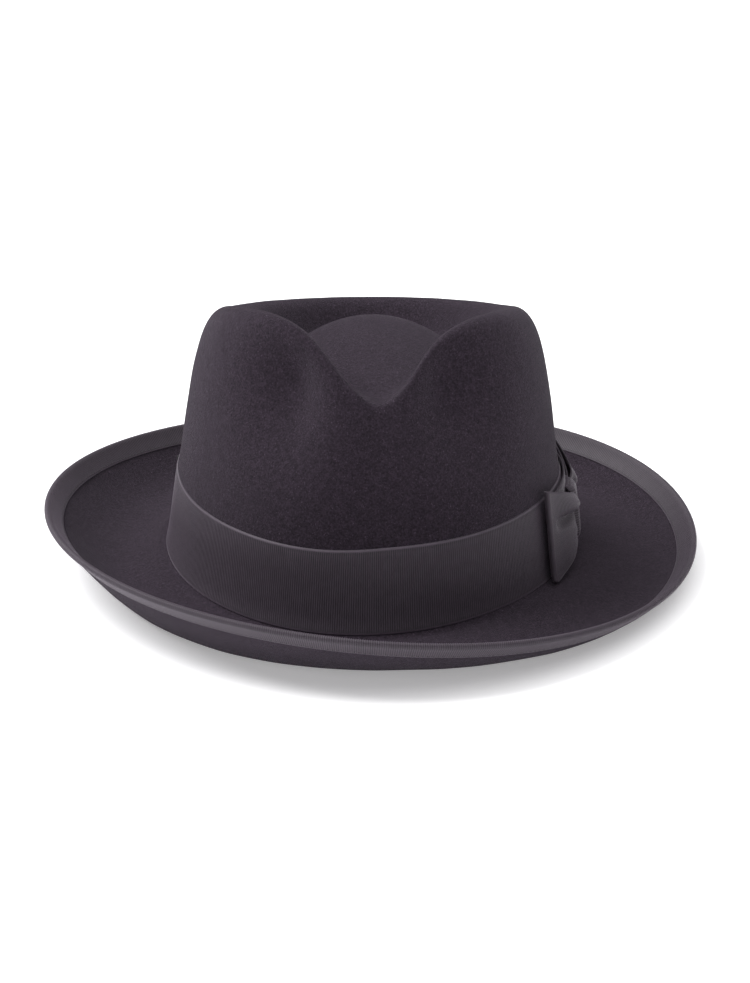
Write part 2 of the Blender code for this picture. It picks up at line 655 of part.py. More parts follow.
def main():
    for item in list(bpy.data.objects):
        bpy.data.objects.remove(item)
    felt = material("felt", FELT_COLOUR, 0.95)
    ribbon = material("ribbon", RIBBON_COLOUR, 0.75)
    thread = material("thread", THREAD_COLOUR, 0.6)
    leather = material("leather", LEATHER_COLOUR, 0.5)
    satin = material("satin", SATIN_COLOUR, 0.35)
    cord = material("cord", RIBBON_COLOUR, 0.6)
    plastic = material("clear_plastic", (0.8, 0.8, 0.8), 0.1)
    paper = material("paper", (0.75, 0.72, 0.66), 0.8)

    make_felt_body(felt)
    make_brim_binding(ribbon)
    make_binding_stitch("binding_stitch_upper", True, thread)
    make_binding_stitch("binding_stitch_lower", False, thread)
    make_hat_band(ribbon)
    for number, degrees in enumerate((-150, -95, 130, 175), start=1):
        make_band_tack(number, np.radians(degrees), thread)
    make_bow_base(ribbon)
    make_bow_loop("bow_front_loop", True, ribbon)
    make_bow_loop("bow_rear_loop", False, ribbon)
    make_bow_knot(ribbon)
    make_bow_stitch(thread)
    make_sweatband(leather)
    make_sweatband_reed(cord)
    make_reed_tape(ribbon)
    make_sweatband_stitching(thread)
    leather_patch("sweatband_seam_tape", np.pi, 0.005, 0.13, 0.88, GAP, 0.0005, leather)
    make_sweatband_rear_bow(ribbon)
    leather_patch("size_tag", np.pi - 0.25, 0.009, 0.45, 0.72, GAP, 0.0003, paper)
    make_lining_side(satin)
    make_lining_tip(satin)
    make_lining_piping(cord)
    make_tip_shield(plastic)


main()
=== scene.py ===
"""The looks of the fedora hat: fine felt, ribbed ribbon, thread, leather and satin around the CAD frame.

Metres, +Z up. The front faces -Y, the bow side is +X, and the brim stands on z = 0. An angle round the hat
is 0 at the front and grows towards +X. The shape formulas are the CAD's own, sampled finely.
"""

import bmesh
import bpy
import numpy as np
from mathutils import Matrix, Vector, noise


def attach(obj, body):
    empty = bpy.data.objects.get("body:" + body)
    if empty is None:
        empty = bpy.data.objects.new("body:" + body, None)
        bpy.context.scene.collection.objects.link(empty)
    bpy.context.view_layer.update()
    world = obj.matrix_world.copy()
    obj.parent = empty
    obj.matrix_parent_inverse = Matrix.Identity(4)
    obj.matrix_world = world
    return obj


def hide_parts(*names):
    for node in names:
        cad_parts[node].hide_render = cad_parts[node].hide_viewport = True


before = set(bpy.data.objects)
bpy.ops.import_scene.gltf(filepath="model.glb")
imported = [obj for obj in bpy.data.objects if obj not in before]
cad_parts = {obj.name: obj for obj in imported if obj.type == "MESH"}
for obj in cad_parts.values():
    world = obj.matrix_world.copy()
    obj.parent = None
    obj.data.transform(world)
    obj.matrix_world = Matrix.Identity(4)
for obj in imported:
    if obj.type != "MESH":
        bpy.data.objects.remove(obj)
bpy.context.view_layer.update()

# Felt body
FELT = 0.0020  # thickness
HEAD_A, HEAD_B = 0.0837, 0.1035  # half width and half length of the crown's foot, outside
EDGE_A, EDGE_B, EDGE_X = 0.1361, 0.1591, 0.0013  # half width, half length and sideways place of the brim
EDGE_TAPER = 0.0666  # how much the brim narrows towards the front
FILLET = 0.0045  # rounding between brim and crown
BRIM_REACH = 0.0263  # handle length of the brim's curve at the crown
REST_BLEND = 0.0008  # softness of the brim's landing on the table
BINDING_LIFT, LIFT_START, LIFT_LENGTH = 0.0012, 0.70, 0.15  # room for the binding under a low edge

# Crown
RIDGE_A, RIDGE_B, RIDGE_Y = 0.0570, 0.0780, -0.0040  # half width, half length and place of the upper rim
RIDGE_Z, RIDGE_FALL = 0.1095, 0.199  # height at the sides, and fall towards the back
RIDGE_HUMP, RIDGE_CURVE, RIDGE_BLEND = 0.216, 1.67, 0.0252  # extra rise ahead of the sides
LEAN = 0.012  # sideways shift per height
PINCH_V_DEPTH, PINCH_V_X, PINCH_V_HALF, PINCH_V_POWER = 0.0385, 0.0040, 0.0276, 1.67
DENT_X, DENT_Z, DENT_DEPTH, DENT_HALF_X, DENT_HALF_Z = 0.037, 0.098, 0.0135, 0.0175, 0.0235
MOUND_X, MOUND_Y, MOUND_Z = 0.0020, 0.0050, 0.1040  # top of the mound inside the crease
MOUND_ACROSS, MOUND_FRONT, MOUND_BACK = 11.5, 1.75, 7.5  # how it falls away, per metre squared
CREASE_SLOPE, CREASE_ROUND, CREASE_BLEND = 2.1, 0.0045, 0.0050

# Ribbons, thread and leather
GAP = 0.0004
EDGE_FELT = 0.0015  # the felt pressed thinner under the binding
SNUG = 0.00006  # between the binding and the felt
RIB_PITCH, RIB_DEPTH = 0.00100, 0.00020
RIB_STEP = RIB_PITCH / 4  # between mesh points along the bow's ribbons
SELVEDGE_HIGHLIGHT = 1.5  # painted highlight on the ribbon's edge thread, where the painted light on a rib's crest is 1
BINDING_WIDTH, BINDING_THICK = 0.0086, 0.00020
BAND_HEIGHT, BAND_THICK, BAND_FOOT = 0.0335, 0.0008, 0.0016
THREAD, FINE_THREAD = 0.00022, 0.00015
STITCH_PITCH, STITCH_LENGTH, STITCH_INSET = 0.0024, 0.0019, 0.0074  # along the binding's inner line
STITCH_ARCH = 0.0002  # how far a thick thread rises between its two holes
TACK_ANGLES, TACK_SPACING = (-150, -95, 130, 175), 0.00055
TACK_DEPTHS = (0.0030, 0.0010)  # of a tack's two ends below the band's upper edge
SWEAT_HEIGHT, SWEAT_THICK, SWEAT_FOOT = 0.0400, 0.0010, 0.0020
SWEAT_INSET, SWEAT_TOP_INSET = 0.0012, 0.0022
REED_RADIUS, REED_HEIGHT, REED_INSET = 0.0007, 0.0009, 0.0016
ZIGZAG_HEIGHT, ZIGZAG_SWING, ZIGZAG_STITCHES = 0.0028, 0.0007, 232
TAPE_HEIGHT, TAPE_THICK = 0.0060, 0.00035
LINING_THICK, LINING_FOOT, LINING_BEND = 0.0004, 0.0360, 0.0440
LINING_TOP_Z, LINING_INSET, LINING_TOP_INSET = 0.0675, 0.0005, 0.0125
LINING_DOME = 0.0055
PIPING_RADIUS, TIP_INSET = 0.0010, 0.0026
SHIELD_A, SHIELD_B, SHIELD_THICK, SHIELD_STITCHES = 0.036, 0.046, 0.0004, 150
LINING_PLEATS, LINING_PLEAT_DEPTH = (64, 101), 0.00055  # two waves that run against each other
SHIELD_SEAM = 0.965  # where its stitches run, as a share of its oval
TAPE_RIBS, CORD_TURNS = 240, 160
SEAM_TAPE_HALF, SEAM_TAPE_LOW, SEAM_TAPE_HIGH, SEAM_TAPE_THICK = 0.005, 0.13, 0.88, 0.0005
TAG_HALF, TAG_LOW, TAG_HIGH, TAG_THICK, TAG_BULGE, TAG_TURN = 0.009, 0.45, 0.72, 0.0003, 0.0004, 0.25
PATCH_POINTS, PATCH_CROWDING, PATCH_RISE = 33, 1.6, 0.00004  # points each way, crowded towards the edges
REAR_BOW_HEIGHT, REAR_BOW_PROUD = 0.0080, 0.0006  # the tiny bow on the leather's back seam
REAR_BOW_ROOT, REAR_BOW_REACH, REAR_BOW_OPEN, REAR_BOW_THICK = 0.0010, 0.0042, 0.0010, 0.0003
REAR_BOW_WAIST, REAR_BOW_FLARE = 0.0010, 0.0022  # half heights at the knot, and gained at the loop's end
REAR_KNOT_HALF, REAR_KNOT_WIDE, REAR_KNOT_DEEP = 0.0015, 0.0011, 0.0012

# Bow, laid along the band: distances along it are from the knot's middle, towards the front
BOW_ANGLE = np.radians(85.5)
BOW_LENGTH, BOW_RIBBON = 0.0480, 0.0007
BASE_HALF_LENGTH, BASE_LOW, BASE_HIGH = 0.0360, 0.0030, 0.0325
LOOP_HEIGHT, LOOP_KNOT_HEIGHT = 0.0385, 0.0195
LOOP_MIDDLE, LOOP_KNOT_MIDDLE = 0.0188, 0.0162
LOOP_END_PROUD, LOOP_BULGE, LOOP_KNOT_PROUD = 0.0036, 0.0018, 0.0031
REAR_END_PROUD, REAR_BULGE = 0.0029, 0.0002  # the rear loop lies flatter
FRONT_PLEAT, REAR_PLEAT = 0.0002, 0.0006  # height of the pleats that the knot gathers
LOOP_START, LOOP_END_ROOM = 0.0030, 0.0020  # where a loop's middle begins, and room for its rounded end
FOLD_PLACE, FOLD_SLANT = 0.20, 0.10  # where the crease runs, with a loop's edges at -1 and 1
UPPER_LOBE, UPPER_LOBE_PLACE, UPPER_LOBE_HALF = 0.0031, 0.38, 0.30
LOWER_LOBE, LOWER_LOBE_PLACE, LOWER_LOBE_HALF = 0.0008, 0.70, 0.50
LOOP_CREASE, LOOP_CREASE_HALF = 0.0042, 0.12
KNOT_HALF_WIDTH, KNOT_MIDDLE, KNOT_HEIGHT, KNOT_PROUD = 0.0085, 0.0162, 0.0235, 0.0054
KNOT_ROUND, KNOT_SHOULDER = 0.0028, 0.0030  # its rounded corners, and where its flat face ends
KNOT_FOLD, KNOT_TUCK, KNOT_WAIST = 0.00035, 0.0022, 0.10
TIE_THREADS, TIE_HALF_WIDTH, TIE_PROUD = 4, 0.0025, 0.0018  # the stitch that ties the knot down
TIE_DROP, TIE_SPACING, TIE_ARCH = 0.0001, 0.00015, 0.00025

# Camera and light
CAMERA_AIM, CAMERA_DISTANCE, CAMERA_ELEVATION = (0.00318, 0.00652, 0.02839), 1.4, np.radians(18.5)
CAMERA_LENS = 121.0
TABLE_GLOW = 0.30  # the hat stands on a softly lit white table
TABLE_HALF, TABLE_DROP = 8.0, 0.0002
TABLE_COLOUR = (0.90, 0.90, 0.91)
WORLD_LIGHT, WORLD_SEEN = 0.20, 1.0  # strength as a light, and as the backdrop
SUNS = (  # name, elevation and azimuth in degrees, strength, and softness in degrees
    ("key_softbox", 52, -104, 3.5, 38),
    ("top_softbox", 80, 90, 1.9, 80),
    ("front_fill", 20, -20, 0.50, 50),
)

# Felt mesh
FELT_COLUMNS = 300
RIM_ROLL, RIM_PASSES = 9, 14  # rings rounded at the rim, and how often they are drawn together

FELT_COLOUR = (0.0225, 0.0163, 0.0236)
RIBBON_COLOUR = (0.040, 0.0300, 0.0415)
THREAD_COLOUR = (0.024, 0.021, 0.025)
THREAD_SPACING = 0.00022  # of the fine threads that cross a ribbon's ribs
LEATHER_COLOUR = (0.030, 0.018, 0.012)
SATIN_COLOUR = (0.30, 0.30, 0.32)
FILM_COLOUR = (0.92, 0.93, 0.94)
PAPER_COLOUR = (0.74, 0.70, 0.62)


def angles(count):
    return np.linspace(0.0, 2.0 * np.pi, count, endpoint=False)


def smooth_max(a, b, blend):
    return 0.5 * (a + b + np.sqrt((a - b) ** 2 + blend**2))


def smooth_step(low, high, value):
    share = np.clip((value - low) / (high - low), 0, 1)
    return share * share * (3 - 2 * share)


def hill(value, middle, half):
    return np.exp(-(((value - middle) / half) ** 2))


def unit(vectors):
    return vectors / np.linalg.norm(vectors, axis=-1, keepdims=True)


def bezier(points, t):
    """Cubic curves side by side: four arrays (angle, axis) and parameters t, giving (t, angle, axis)."""
    t = np.asarray(t)[:, None, None]
    a, b, c, d = points
    return (1 - t) ** 3 * a + 3 * (1 - t) ** 2 * t * b + 3 * (1 - t) * t**2 * c + t**3 * d


# --- where the felt's outer surface lies ---

def break_height(phi):
    """Height of the brim's upper face where it meets the crown: lowest at the front and back."""
    return 0.0065 - 0.0024 * np.cos(2 * phi) - 0.0008 * np.sin(phi) + 0.0014 * np.sin(2 * phi)


def edge_height(phi):
    """Height of the brim's edge: turned up all round, most on the wearer's right."""
    even = 0.0196 + 0.0022 * np.cos(phi) + 0.0013 * np.cos(2 * phi) + 0.0010 * np.cos(3 * phi)
    odd = 0.0067 * np.sin(phi) + 0.0027 * np.sin(2 * phi) - 0.0004 * np.sin(3 * phi)
    return even - odd


def edge_tilt(phi):
    """How steeply the brim rises at its edge: most at the back."""
    return np.radians(47.8 + 0.7 * np.sin(phi) - 6.3 * np.cos(phi) + 2.1 * np.cos(2 * phi))


def brim_dip(phi):
    """How steeply the brim falls away from the crown: most on the wearer's right, where it starts highest."""
    return np.radians(19.7 - 15.0 * np.sin(phi) - 5.2 * np.cos(phi) - 8.0 * np.cos(2 * phi))


def edge_curl(phi):
    """Handle length of the brim's curve at its edge: longest at the front."""
    return 0.0245 + 0.0016 * np.sin(phi) + 0.0045 * np.cos(phi) + 0.0013 * np.cos(2 * phi)


def head_oval(phi):
    return np.stack([HEAD_A * np.sin(phi), -HEAD_B * np.cos(phi)], -1)


def facing(phi):
    """Horizontal direction square to the crown's foot, pointing out."""
    return unit(np.stack([HEAD_B * np.sin(phi), -HEAD_A * np.cos(phi)], -1))


def edge_oval(phi):
    x = EDGE_X + EDGE_A * np.sin(phi) * (1 - EDGE_TAPER * np.cos(phi))
    return np.stack([x, -EDGE_B * np.cos(phi)], -1)


def v_share(x):
    """1 in the middle of the front pinch's V, 0 outside it."""
    return np.exp(-(np.abs(x - PINCH_V_X) / PINCH_V_HALF) ** PINCH_V_POWER)


def ridge(phi):
    """The crown's upper rim: rising to the front, with the V of the pinch cut into it."""
    xy = np.stack([RIDGE_A * np.sin(phi), RIDGE_Y - RIDGE_B * np.cos(phi)], -1)
    y = xy[:, 1]
    ahead = 0.5 * (np.sqrt(y**2 + RIDGE_BLEND**2) - y)
    z = RIDGE_Z - RIDGE_FALL * y + RIDGE_HUMP * ahead - RIDGE_CURVE * ahead**2
    z -= PINCH_V_DEPTH * v_share(xy[:, 0]) * np.clip(-y / 0.03, 0, 1)
    return np.concatenate([xy, z[:, None]], -1)


def leaned(points):
    """The crown and brim sit a little to the bow's side as they rise."""
    points = points.copy()
    points[..., 0] += LEAN * points[..., 2]
    return points


def outward(phi):
    """Horizontal direction from the crown's foot to the brim's edge."""
    return unit(edge_oval(phi) - head_oval(phi))


def brim_curve(phi, t):
    """The brim's upper face from the fillet (t = 0) to the edge (t = 1)."""
    reach = np.linalg.norm(edge_oval(phi) - head_oval(phi), axis=1)
    tilt = edge_tilt(phi)
    start = np.stack([np.full_like(reach, FILLET), break_height(phi)], -1)
    end = np.stack([reach, edge_height(phi)], -1)
    dip = BRIM_REACH * np.stack([np.cos(brim_dip(phi)), -np.sin(brim_dip(phi))], -1)
    curl = edge_curl(phi)[:, None] * np.stack([np.cos(tilt), np.sin(tilt)], -1)
    curve = bezier((start, start + dip, end - curl, end), t)
    near_edge = np.clip((np.asarray(t)[:, None] - LIFT_START) / LIFT_LENGTH, 0, 1)
    height = smooth_max(curve[..., 1], FELT + BINDING_LIFT * near_edge, REST_BLEND)
    xy = head_oval(phi) + outward(phi) * curve[..., :1]
    return leaned(np.concatenate([xy, height[..., None]], -1))


def fillet_curve(phi, t):
    """The rounding from the brim (t = 0) up into the crown's wall (t = 1)."""
    turn = np.asarray(t)[:, None] * np.pi / 2
    out = FILLET * (1 - np.sin(turn)) * np.ones_like(phi)
    height = break_height(phi) + FILLET * (1 - np.cos(turn))
    xy = head_oval(phi) + outward(phi) * out[..., None]
    return leaned(np.concatenate([xy, height[..., None]], -1))


def dent_share(points):
    """Strength of the two pinch dents beside the crown's nose."""
    x, y, z = points[..., 0], points[..., 1], points[..., 2]
    sides = sum(hill(x, side * DENT_X, DENT_HALF_X) for side in (-1, 1))
    return sides * hill(z, DENT_Z, DENT_HALF_Z) * np.clip((-y - 0.02) / 0.03, 0, 1)


def wall_curve(phi, t):
    """The crown's outer wall from the fillet (t = 0) to the rim (t = 1)."""
    rim = ridge(phi)
    foot = head_oval(phi)
    way = rim[:, :2] - foot
    inset = np.linalg.norm(way, axis=1)
    low = break_height(phi) + FILLET
    rise = rim[:, 2] - low
    nose = v_share(rim[:, 0]) * (np.cos(phi) > 0)

    def handle(inset_share, rise_share, nose_inset_share, nose_rise_share):
        across = inset * (inset_share + (nose_inset_share - inset_share) * nose)
        up = rise * (rise_share + (nose_rise_share - rise_share) * nose)
        return np.stack([across, low + up], -1)

    ends = handle(0, 0, 0, 0), handle(1, 1, 1, 1)
    curve = bezier((ends[0], handle(0.36, 0.733, 0.45, 0.62), handle(0.43, 1.0, 0.86, 0.985), ends[1]), t)
    inward = way / inset[:, None]
    points = np.concatenate([foot + inward * curve[..., :1], curve[..., 1:]], -1)
    points[..., :2] += inward * DENT_DEPTH * dent_share(points)[..., None]
    return leaned(points)


def tip_surface(phi, share):
    """The crown's top from the rim (share = 0) to its middle (share = 1): a mound inside the crease."""
    rim = wall_curve(phi, [1.0])[0]
    middle = np.array([MOUND_X, MOUND_Y])
    share = np.asarray(share)[:, None]
    xy = rim[:, :2] + (middle - rim[:, :2]) * share[..., None]
    inside = np.linalg.norm(rim[:, :2] - middle, axis=1) * share
    soft = CREASE_SLOPE * CREASE_ROUND
    flank = rim[:, 2] - CREASE_SLOPE * (np.sqrt(inside**2 + soft**2) - soft)
    ahead = xy[..., 1] - MOUND_Y
    fall = np.where(ahead < 0, MOUND_FRONT, MOUND_BACK) * ahead**2
    mound = MOUND_Z - MOUND_ACROSS * (xy[..., 0] - MOUND_X) ** 2 - fall
    height = smooth_max(mound, flank, CREASE_BLEND)
    height -= (height[0] - rim[:, 2]) * np.exp(-((inside / 0.008) ** 2))
    return np.concatenate([xy, height[..., None]], -1)


def sampled(rings, levels, wanted):
    """Points of a (ring, angle, axis) surface where its levels (ring, angle) reach the wanted ones."""
    result = np.empty(wanted.shape + (3,))
    for column in range(rings.shape[1]):
        for axis in range(3):
            result[:, column, axis] = np.interp(wanted[:, column], levels[:, column], rings[:, column, axis])
    return result


def along(rings, lengths):
    """Points at set distances along each curve of a (point, angle, axis) array."""
    steps = np.linalg.norm(np.diff(rings, axis=0), axis=2)
    travelled = np.concatenate([np.zeros((1, rings.shape[1])), np.cumsum(steps, axis=0)])
    return sampled(rings, travelled, lengths)


def normals(rings):
    """Unit normals of a surface given as rings, pointing out of the hat."""
    around = np.roll(rings, -1, axis=1) - np.roll(rings, 1, axis=1)
    across = np.gradient(rings, axis=0)
    return unit(np.cross(around, across))


# --- mesh building ---

def quads(rows, columns, wrap_rows=True, wrap_columns=True):
    """Faces of a grid of points, row by row, wrapping round where asked."""
    row = np.arange(rows if wrap_rows else rows - 1)[:, None]
    column = np.arange(columns if wrap_columns else columns - 1)[None, :]
    next_row, next_column = (row + 1) % rows, (column + 1) % columns
    corners = (row, column), (row, next_column), (next_row, next_column), (next_row, column)
    return np.stack([r * columns + c for r, c in corners], -1).reshape(-1, 4).tolist()


def add_piece(name, points, faces, slot, nodes=(), values=None):
    """A visible piece on the hat's one body: nodes are the CAD solids it replaces, values its attributes."""
    mesh = bpy.data.meshes.new(name)
    mesh.from_pydata(np.asarray(points).reshape(-1, 3).tolist(), [], faces)
    for key, value in (values or {}).items():
        attribute = mesh.attributes.new(key, "FLOAT", "POINT")
        attribute.data.foreach_set("value", np.ravel(value).astype(np.float32))
    mesh.materials.append(FINISHES[slot])
    mesh.shade_smooth()
    piece = bpy.data.objects.new(name, mesh)
    bpy.context.scene.collection.objects.link(piece)
    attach(piece, "root")
    if nodes:
        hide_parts(*nodes)
    return piece


def add_ring(name, section, slot, nodes, values=None):
    """A piece that runs round the hat: its closed section (point, angle, axis)."""
    return add_piece(name, section, quads(*section.shape[:2]), slot, nodes, values)


def with_poles(section, poles):
    """A section (point, angle, axis) closed at its first and last ring by a fan round a pole."""
    rows, columns = section.shape[:2]
    faces = [face[::-1] for face in quads(rows, columns, wrap_rows=False)]
    first_pole, last_row = rows * columns, (rows - 1) * columns
    faces += [[first_pole, i, (i + 1) % columns] for i in range(columns)]
    faces += [[last_row + (i + 1) % columns, last_row + i, first_pole + 1] for i in range(columns)]
    return np.concatenate([section.reshape(-1, 3), poles]), faces


def capped_grid(rows, columns):
    """Faces of a tube of points, row by row, with a flat cap at each end."""
    last = (rows - 1) * columns
    caps = [list(range(columns))[::-1], list(range(last, last + columns))]
    return quads(rows, columns, wrap_rows=False) + caps


def tube(points, side, up, radius, count):
    """A round thread along points (station, axis), with two unit directions across it."""
    turns = angles(count)[None, :, None]
    ways = np.cos(turns) * side[:, None] + np.sin(turns) * up[:, None]
    skin = points[:, None] + np.reshape(radius, (-1, 1, 1)) * ways
    return skin.reshape(-1, 3), capped_grid(len(points), count)


def cross_directions(points, up_hint):
    """Two unit directions square to a path at each of its points, the second one near up_hint."""
    ahead = unit(np.gradient(points, axis=0))
    side = unit(np.cross(ahead, up_hint))
    return side, np.cross(side, ahead)


def joined(parts):
    """Several (points, faces) as one."""
    points, faces, start = [], [], 0
    for part_points, part_faces in parts:
        points.append(part_points)
        faces += [[corner + start for corner in face] for face in part_faces]
        start += len(part_points)
    return np.concatenate(points), faces


def stitch(start, end, up, radius, arch):
    """One stitch: a short thread that rises out of one hole and dips into the next."""
    share = np.linspace(0, 1, 5)[:, None]
    points = start + (end - start) * share + up * (arch * np.sin(np.pi * share) - 0.6 * radius)
    side, over = cross_directions(points, up)
    swell = radius * (0.45 + 0.55 * np.sin(np.pi * share[:, 0]) ** 0.5)
    return tube(points, side, over, swell, 6)


def add_threads(name, stitches, nodes=()):
    """Many stitches as one piece."""
    add_piece(name, *joined(stitches), "thread", nodes)


# --- materials ---

class Nodes:
    """Short words for building one material's node tree."""

    def __init__(self, name, colour, roughness, **settings):
        self.colour = colour
        self.material = bpy.data.materials.new(name)
        self.material.use_nodes = True
        self.tree = self.material.node_tree
        self.shader = self.tree.nodes["Principled BSDF"]
        self.shader.inputs["Base Color"].default_value = (*colour, 1)
        self.shader.inputs["Roughness"].default_value = roughness
        for key, value in settings.items():
            self.shader.inputs[key.replace("_", " ")].default_value = value

    def add(self, kind, inputs=None, **settings):
        node = self.tree.nodes.new(kind)
        for key, value in settings.items():
            setattr(node, key, value)
        for key, value in (inputs or {}).items():
            if isinstance(value, bpy.types.NodeSocket):
                self.tree.links.new(value, node.inputs[key])
            else:
                node.inputs[key].default_value = value
        return node

    def place(self):
        return self.add("ShaderNodeTexCoord").outputs["Object"]

    def value(self, name):
        return self.add("ShaderNodeAttribute", attribute_name=name).outputs["Fac"]

    def noise(self, scale, detail=3.0, roughness=0.6, vector=None):
        inputs = {"Vector": vector or self.place(), "Scale": scale, "Detail": detail, "Roughness": roughness}
        return self.add("ShaderNodeTexNoise", inputs).outputs["Fac"]

    def streaks(self, scale, detail=2, roughness=0.5):
        """Noise drawn out along the axes with the smaller scales."""
        mapping = self.add("ShaderNodeMapping", {"Vector": self.place(), "Scale": scale})
        return self.noise(1.0, detail, roughness, mapping.outputs["Vector"])

    def math(self, operation, first, second=0.0):
        return self.add("ShaderNodeMath", {0: first, 1: second}, operation=operation).outputs[0]

    def ramp(self, value, low, high, out_low, out_high, clamp=True):
        inputs = {"Value": value, "From Min": low, "From Max": high, "To Min": out_low, "To Max": out_high}
        return self.add("ShaderNodeMapRange", inputs, clamp=clamp).outputs["Result"]

    def shaded(self, amount):
        """The colour made lighter or darker by an amount that varies from place to place, around 1."""
        scale = self.add("ShaderNodeCombineXYZ", {0: amount, 1: amount, 2: amount}).outputs[0]
        tint = self.add("ShaderNodeVectorMath", {0: self.colour, 1: scale}, operation="MULTIPLY").outputs[0]
        self.link(tint, "Base Color")

    def mottled(self, pattern, darkest, lightest):
        self.shaded(self.ramp(pattern, 0.3, 0.7, darkest, lightest))

    def worn(self, pattern, smoothest, roughest):
        self.link(self.ramp(pattern, 0.3, 0.7, smoothest, roughest), "Roughness")

    def bump(self, height, distance, strength=1.0, under=None):
        inputs = {"Height": height, "Distance": distance, "Strength": strength}
        if under is not None:
            inputs["Normal"] = under
        return self.add("ShaderNodeBump", inputs).outputs["Normal"]

    def relief(self, height, distance, strength, under=None):
        self.link(self.bump(height, distance, strength, under), "Normal")

    def link(self, output, key):
        self.tree.links.new(output, self.shader.inputs[key])


def felt_material():
    """Fur felt: a soft mottle, a fine nap and a few pale hairs, with a sheen where it is seen edge-on."""
    made = Nodes("fur_felt", FELT_COLOUR, 0.95, Specular_IOR_Level=0.12, Sheen_Weight=0.085,
                 Sheen_Roughness=0.45, Sheen_Tint=(0.82, 0.72, 0.87, 1))
    cloud = made.ramp(made.noise(420, 2), 0.3, 0.7, 0.84, 1.16)
    mottle = made.ramp(made.noise(1300, 3, 0.6), 0.35, 0.65, 0.60, 1.45)
    hairs = made.ramp(made.streaks((2400, 800, 1500)), 0.61, 0.74, 0.0, 1.6)
    made.shaded(made.math("ADD", made.math("MULTIPLY", cloud, mottle), hairs))
    nap = made.bump(made.noise(1900, 4, 0.7), 0.00050, 1.0)
    made.relief(made.noise(420, 2), 0.00040, 0.45, nap)
    return made.material


def ribbon_material():
    """Grosgrain: thick ribs across the ribbon, with fine threads crossing them, and painted light on the
    ribs.
    """
    made = Nodes("grosgrain", RIBBON_COLOUR, 0.58, Specular_IOR_Level=0.34, Sheen_Weight=0.26,
                 Sheen_Roughness=0.34, Sheen_Tint=(0.86, 0.76, 0.90, 1))
    rib = made.value("rib")
    # painted light in the colour: painted shade darkens the rib valleys, painted highlight lightens the
    # crests and edge threads
    painted_rib_light = made.ramp(rib, 0.0, 1.0, 0.30, 1.28, False)
    uneven = made.ramp(made.noise(260, 3), 0.3, 0.7, 0.90, 1.10)
    made.shaded(made.math("MULTIPLY", painted_rib_light, uneven))
    made.link(made.ramp(rib, 0.0, 1.0, 0.72, 0.50), "Roughness")
    threads = made.math("SINE", made.math("MULTIPLY", made.value("across"), 2 * np.pi / THREAD_SPACING))
    woven = made.math("MULTIPLY", threads, rib)
    made.relief(woven, 0.00002, 0.7, made.bump(made.noise(2300, 3), 0.00005, 0.4))
    return made.material


def thread_material():
    """Twisted sewing thread."""
    made = Nodes("thread", THREAD_COLOUR, 0.55, Sheen_Weight=0.10)
    made.mottled(made.noise(1500, 2), 0.75, 1.3)
    made.relief(made.streaks((5200, 5200, 1500), 1, 0.4), 0.00006, 0.8)
    return made.material


def leather_material():
    """Dark sweatband leather: small pebbles, pores and a waxy shine worn unevenly."""
    made = Nodes("sweat_leather", LEATHER_COLOUR, 0.42, Specular_IOR_Level=0.5, Coat_Weight=0.12,
                 Coat_Roughness=0.3)
    made.mottled(made.noise(90, 4), 0.75, 1.35)
    made.worn(made.noise(160, 3), 0.34, 0.52)
    cells = made.add("ShaderNodeTexVoronoi", {"Vector": made.place(), "Scale": 1150.0}).outputs["Distance"]
    made.relief(made.noise(3200, 3), 0.00004, 0.35, made.bump(cells, 0.00009, 0.55))
    return made.material


def satin_material():
    """Lining satin: smooth and glossy, with the fine floats of its weave."""
    made = Nodes("satin", SATIN_COLOUR, 0.30, Anisotropic=0.5, Sheen_Weight=0.20, Sheen_Roughness=0.3)
    made.mottled(made.streaks((240, 240, 2400)), 0.90, 1.08)
    made.worn(made.noise(60, 2), 0.26, 0.38)
    made.relief(made.streaks((700, 700, 5200)), 0.00004, 0.5)
    return made.material


def cord_material():
    """Covered cord in the ribbon's colour."""
    made = Nodes("covered_cord", RIBBON_COLOUR, 0.50, Sheen_Weight=0.15)
    made.mottled(made.noise(900, 3), 0.8, 1.25)
    made.relief(made.streaks((2600, 2600, 900)), 0.00006, 0.6)
    return made.material


def film_material():
    """Clear film, faintly scuffed."""
    made = Nodes("clear_film", FILM_COLOUR, 0.08, Transmission_Weight=0.92, IOR=1.46)
    made.link(made.ramp(made.noise(120, 4), 0.35, 0.8, 0.05, 0.22), "Roughness")
    made.relief(made.noise(25, 1), 0.0004, 0.3)
    return made.material


def paper_material():
    """Uncoated tag paper with short fibres."""
    made = Nodes("tag_paper", PAPER_COLOUR, 0.85)
    fibres = made.streaks((3000, 3000, 700), 3, 0.6)
    made.mottled(fibres, 0.93, 1.05)
    made.relief(fibres, 0.00004, 0.5)
    return made.material


def make_finishes():
    """The material of each of the record's slots."""
    finishes = {
        "fur_felt": felt_material(),
        "grosgrain": ribbon_material(),
        "thread": thread_material(),
        "sweat_leather": leather_material(),
        "satin": satin_material(),
        "piping_cord": cord_material(),
        "clear_shield": film_material(),
        "paper_tag": paper_material(),
    }
    finishes["tape"] = finishes["grosgrain"]
    return finishes


FINISHES = make_finishes()


# --- felt ---

def felt_rings(phi):
    """The felt's outer surface in rings, from the brim's edge to the last ring round the tip's middle."""
    brim = brim_curve(phi, np.linspace(1, 0, 44))
    fillet = fillet_curve(phi, np.linspace(0, 1, 8)[:-1])
    wall = wall_curve(phi, np.linspace(0, 1, 46))
    tip = tip_surface(phi, np.linspace(0, 1, 46)[1:-1])
    return rounded_rim(np.concatenate([brim[:-1], fillet, wall, tip]), len(tip))


def rounded_rim(rings, tip_rings):
    """The crown's rim rolled over softly: rings near it are drawn towards their neighbours."""
    place = np.arange(len(rings)) - (len(rings) - tip_rings)
    share = 0.5 * hill(place, 0, RIM_ROLL)[1:-1, None, None]
    for _ in range(RIM_PASSES):
        between = (rings[:-2] + rings[2:]) / 2
        rings[1:-1] += share * (between - rings[1:-1])
    return rings


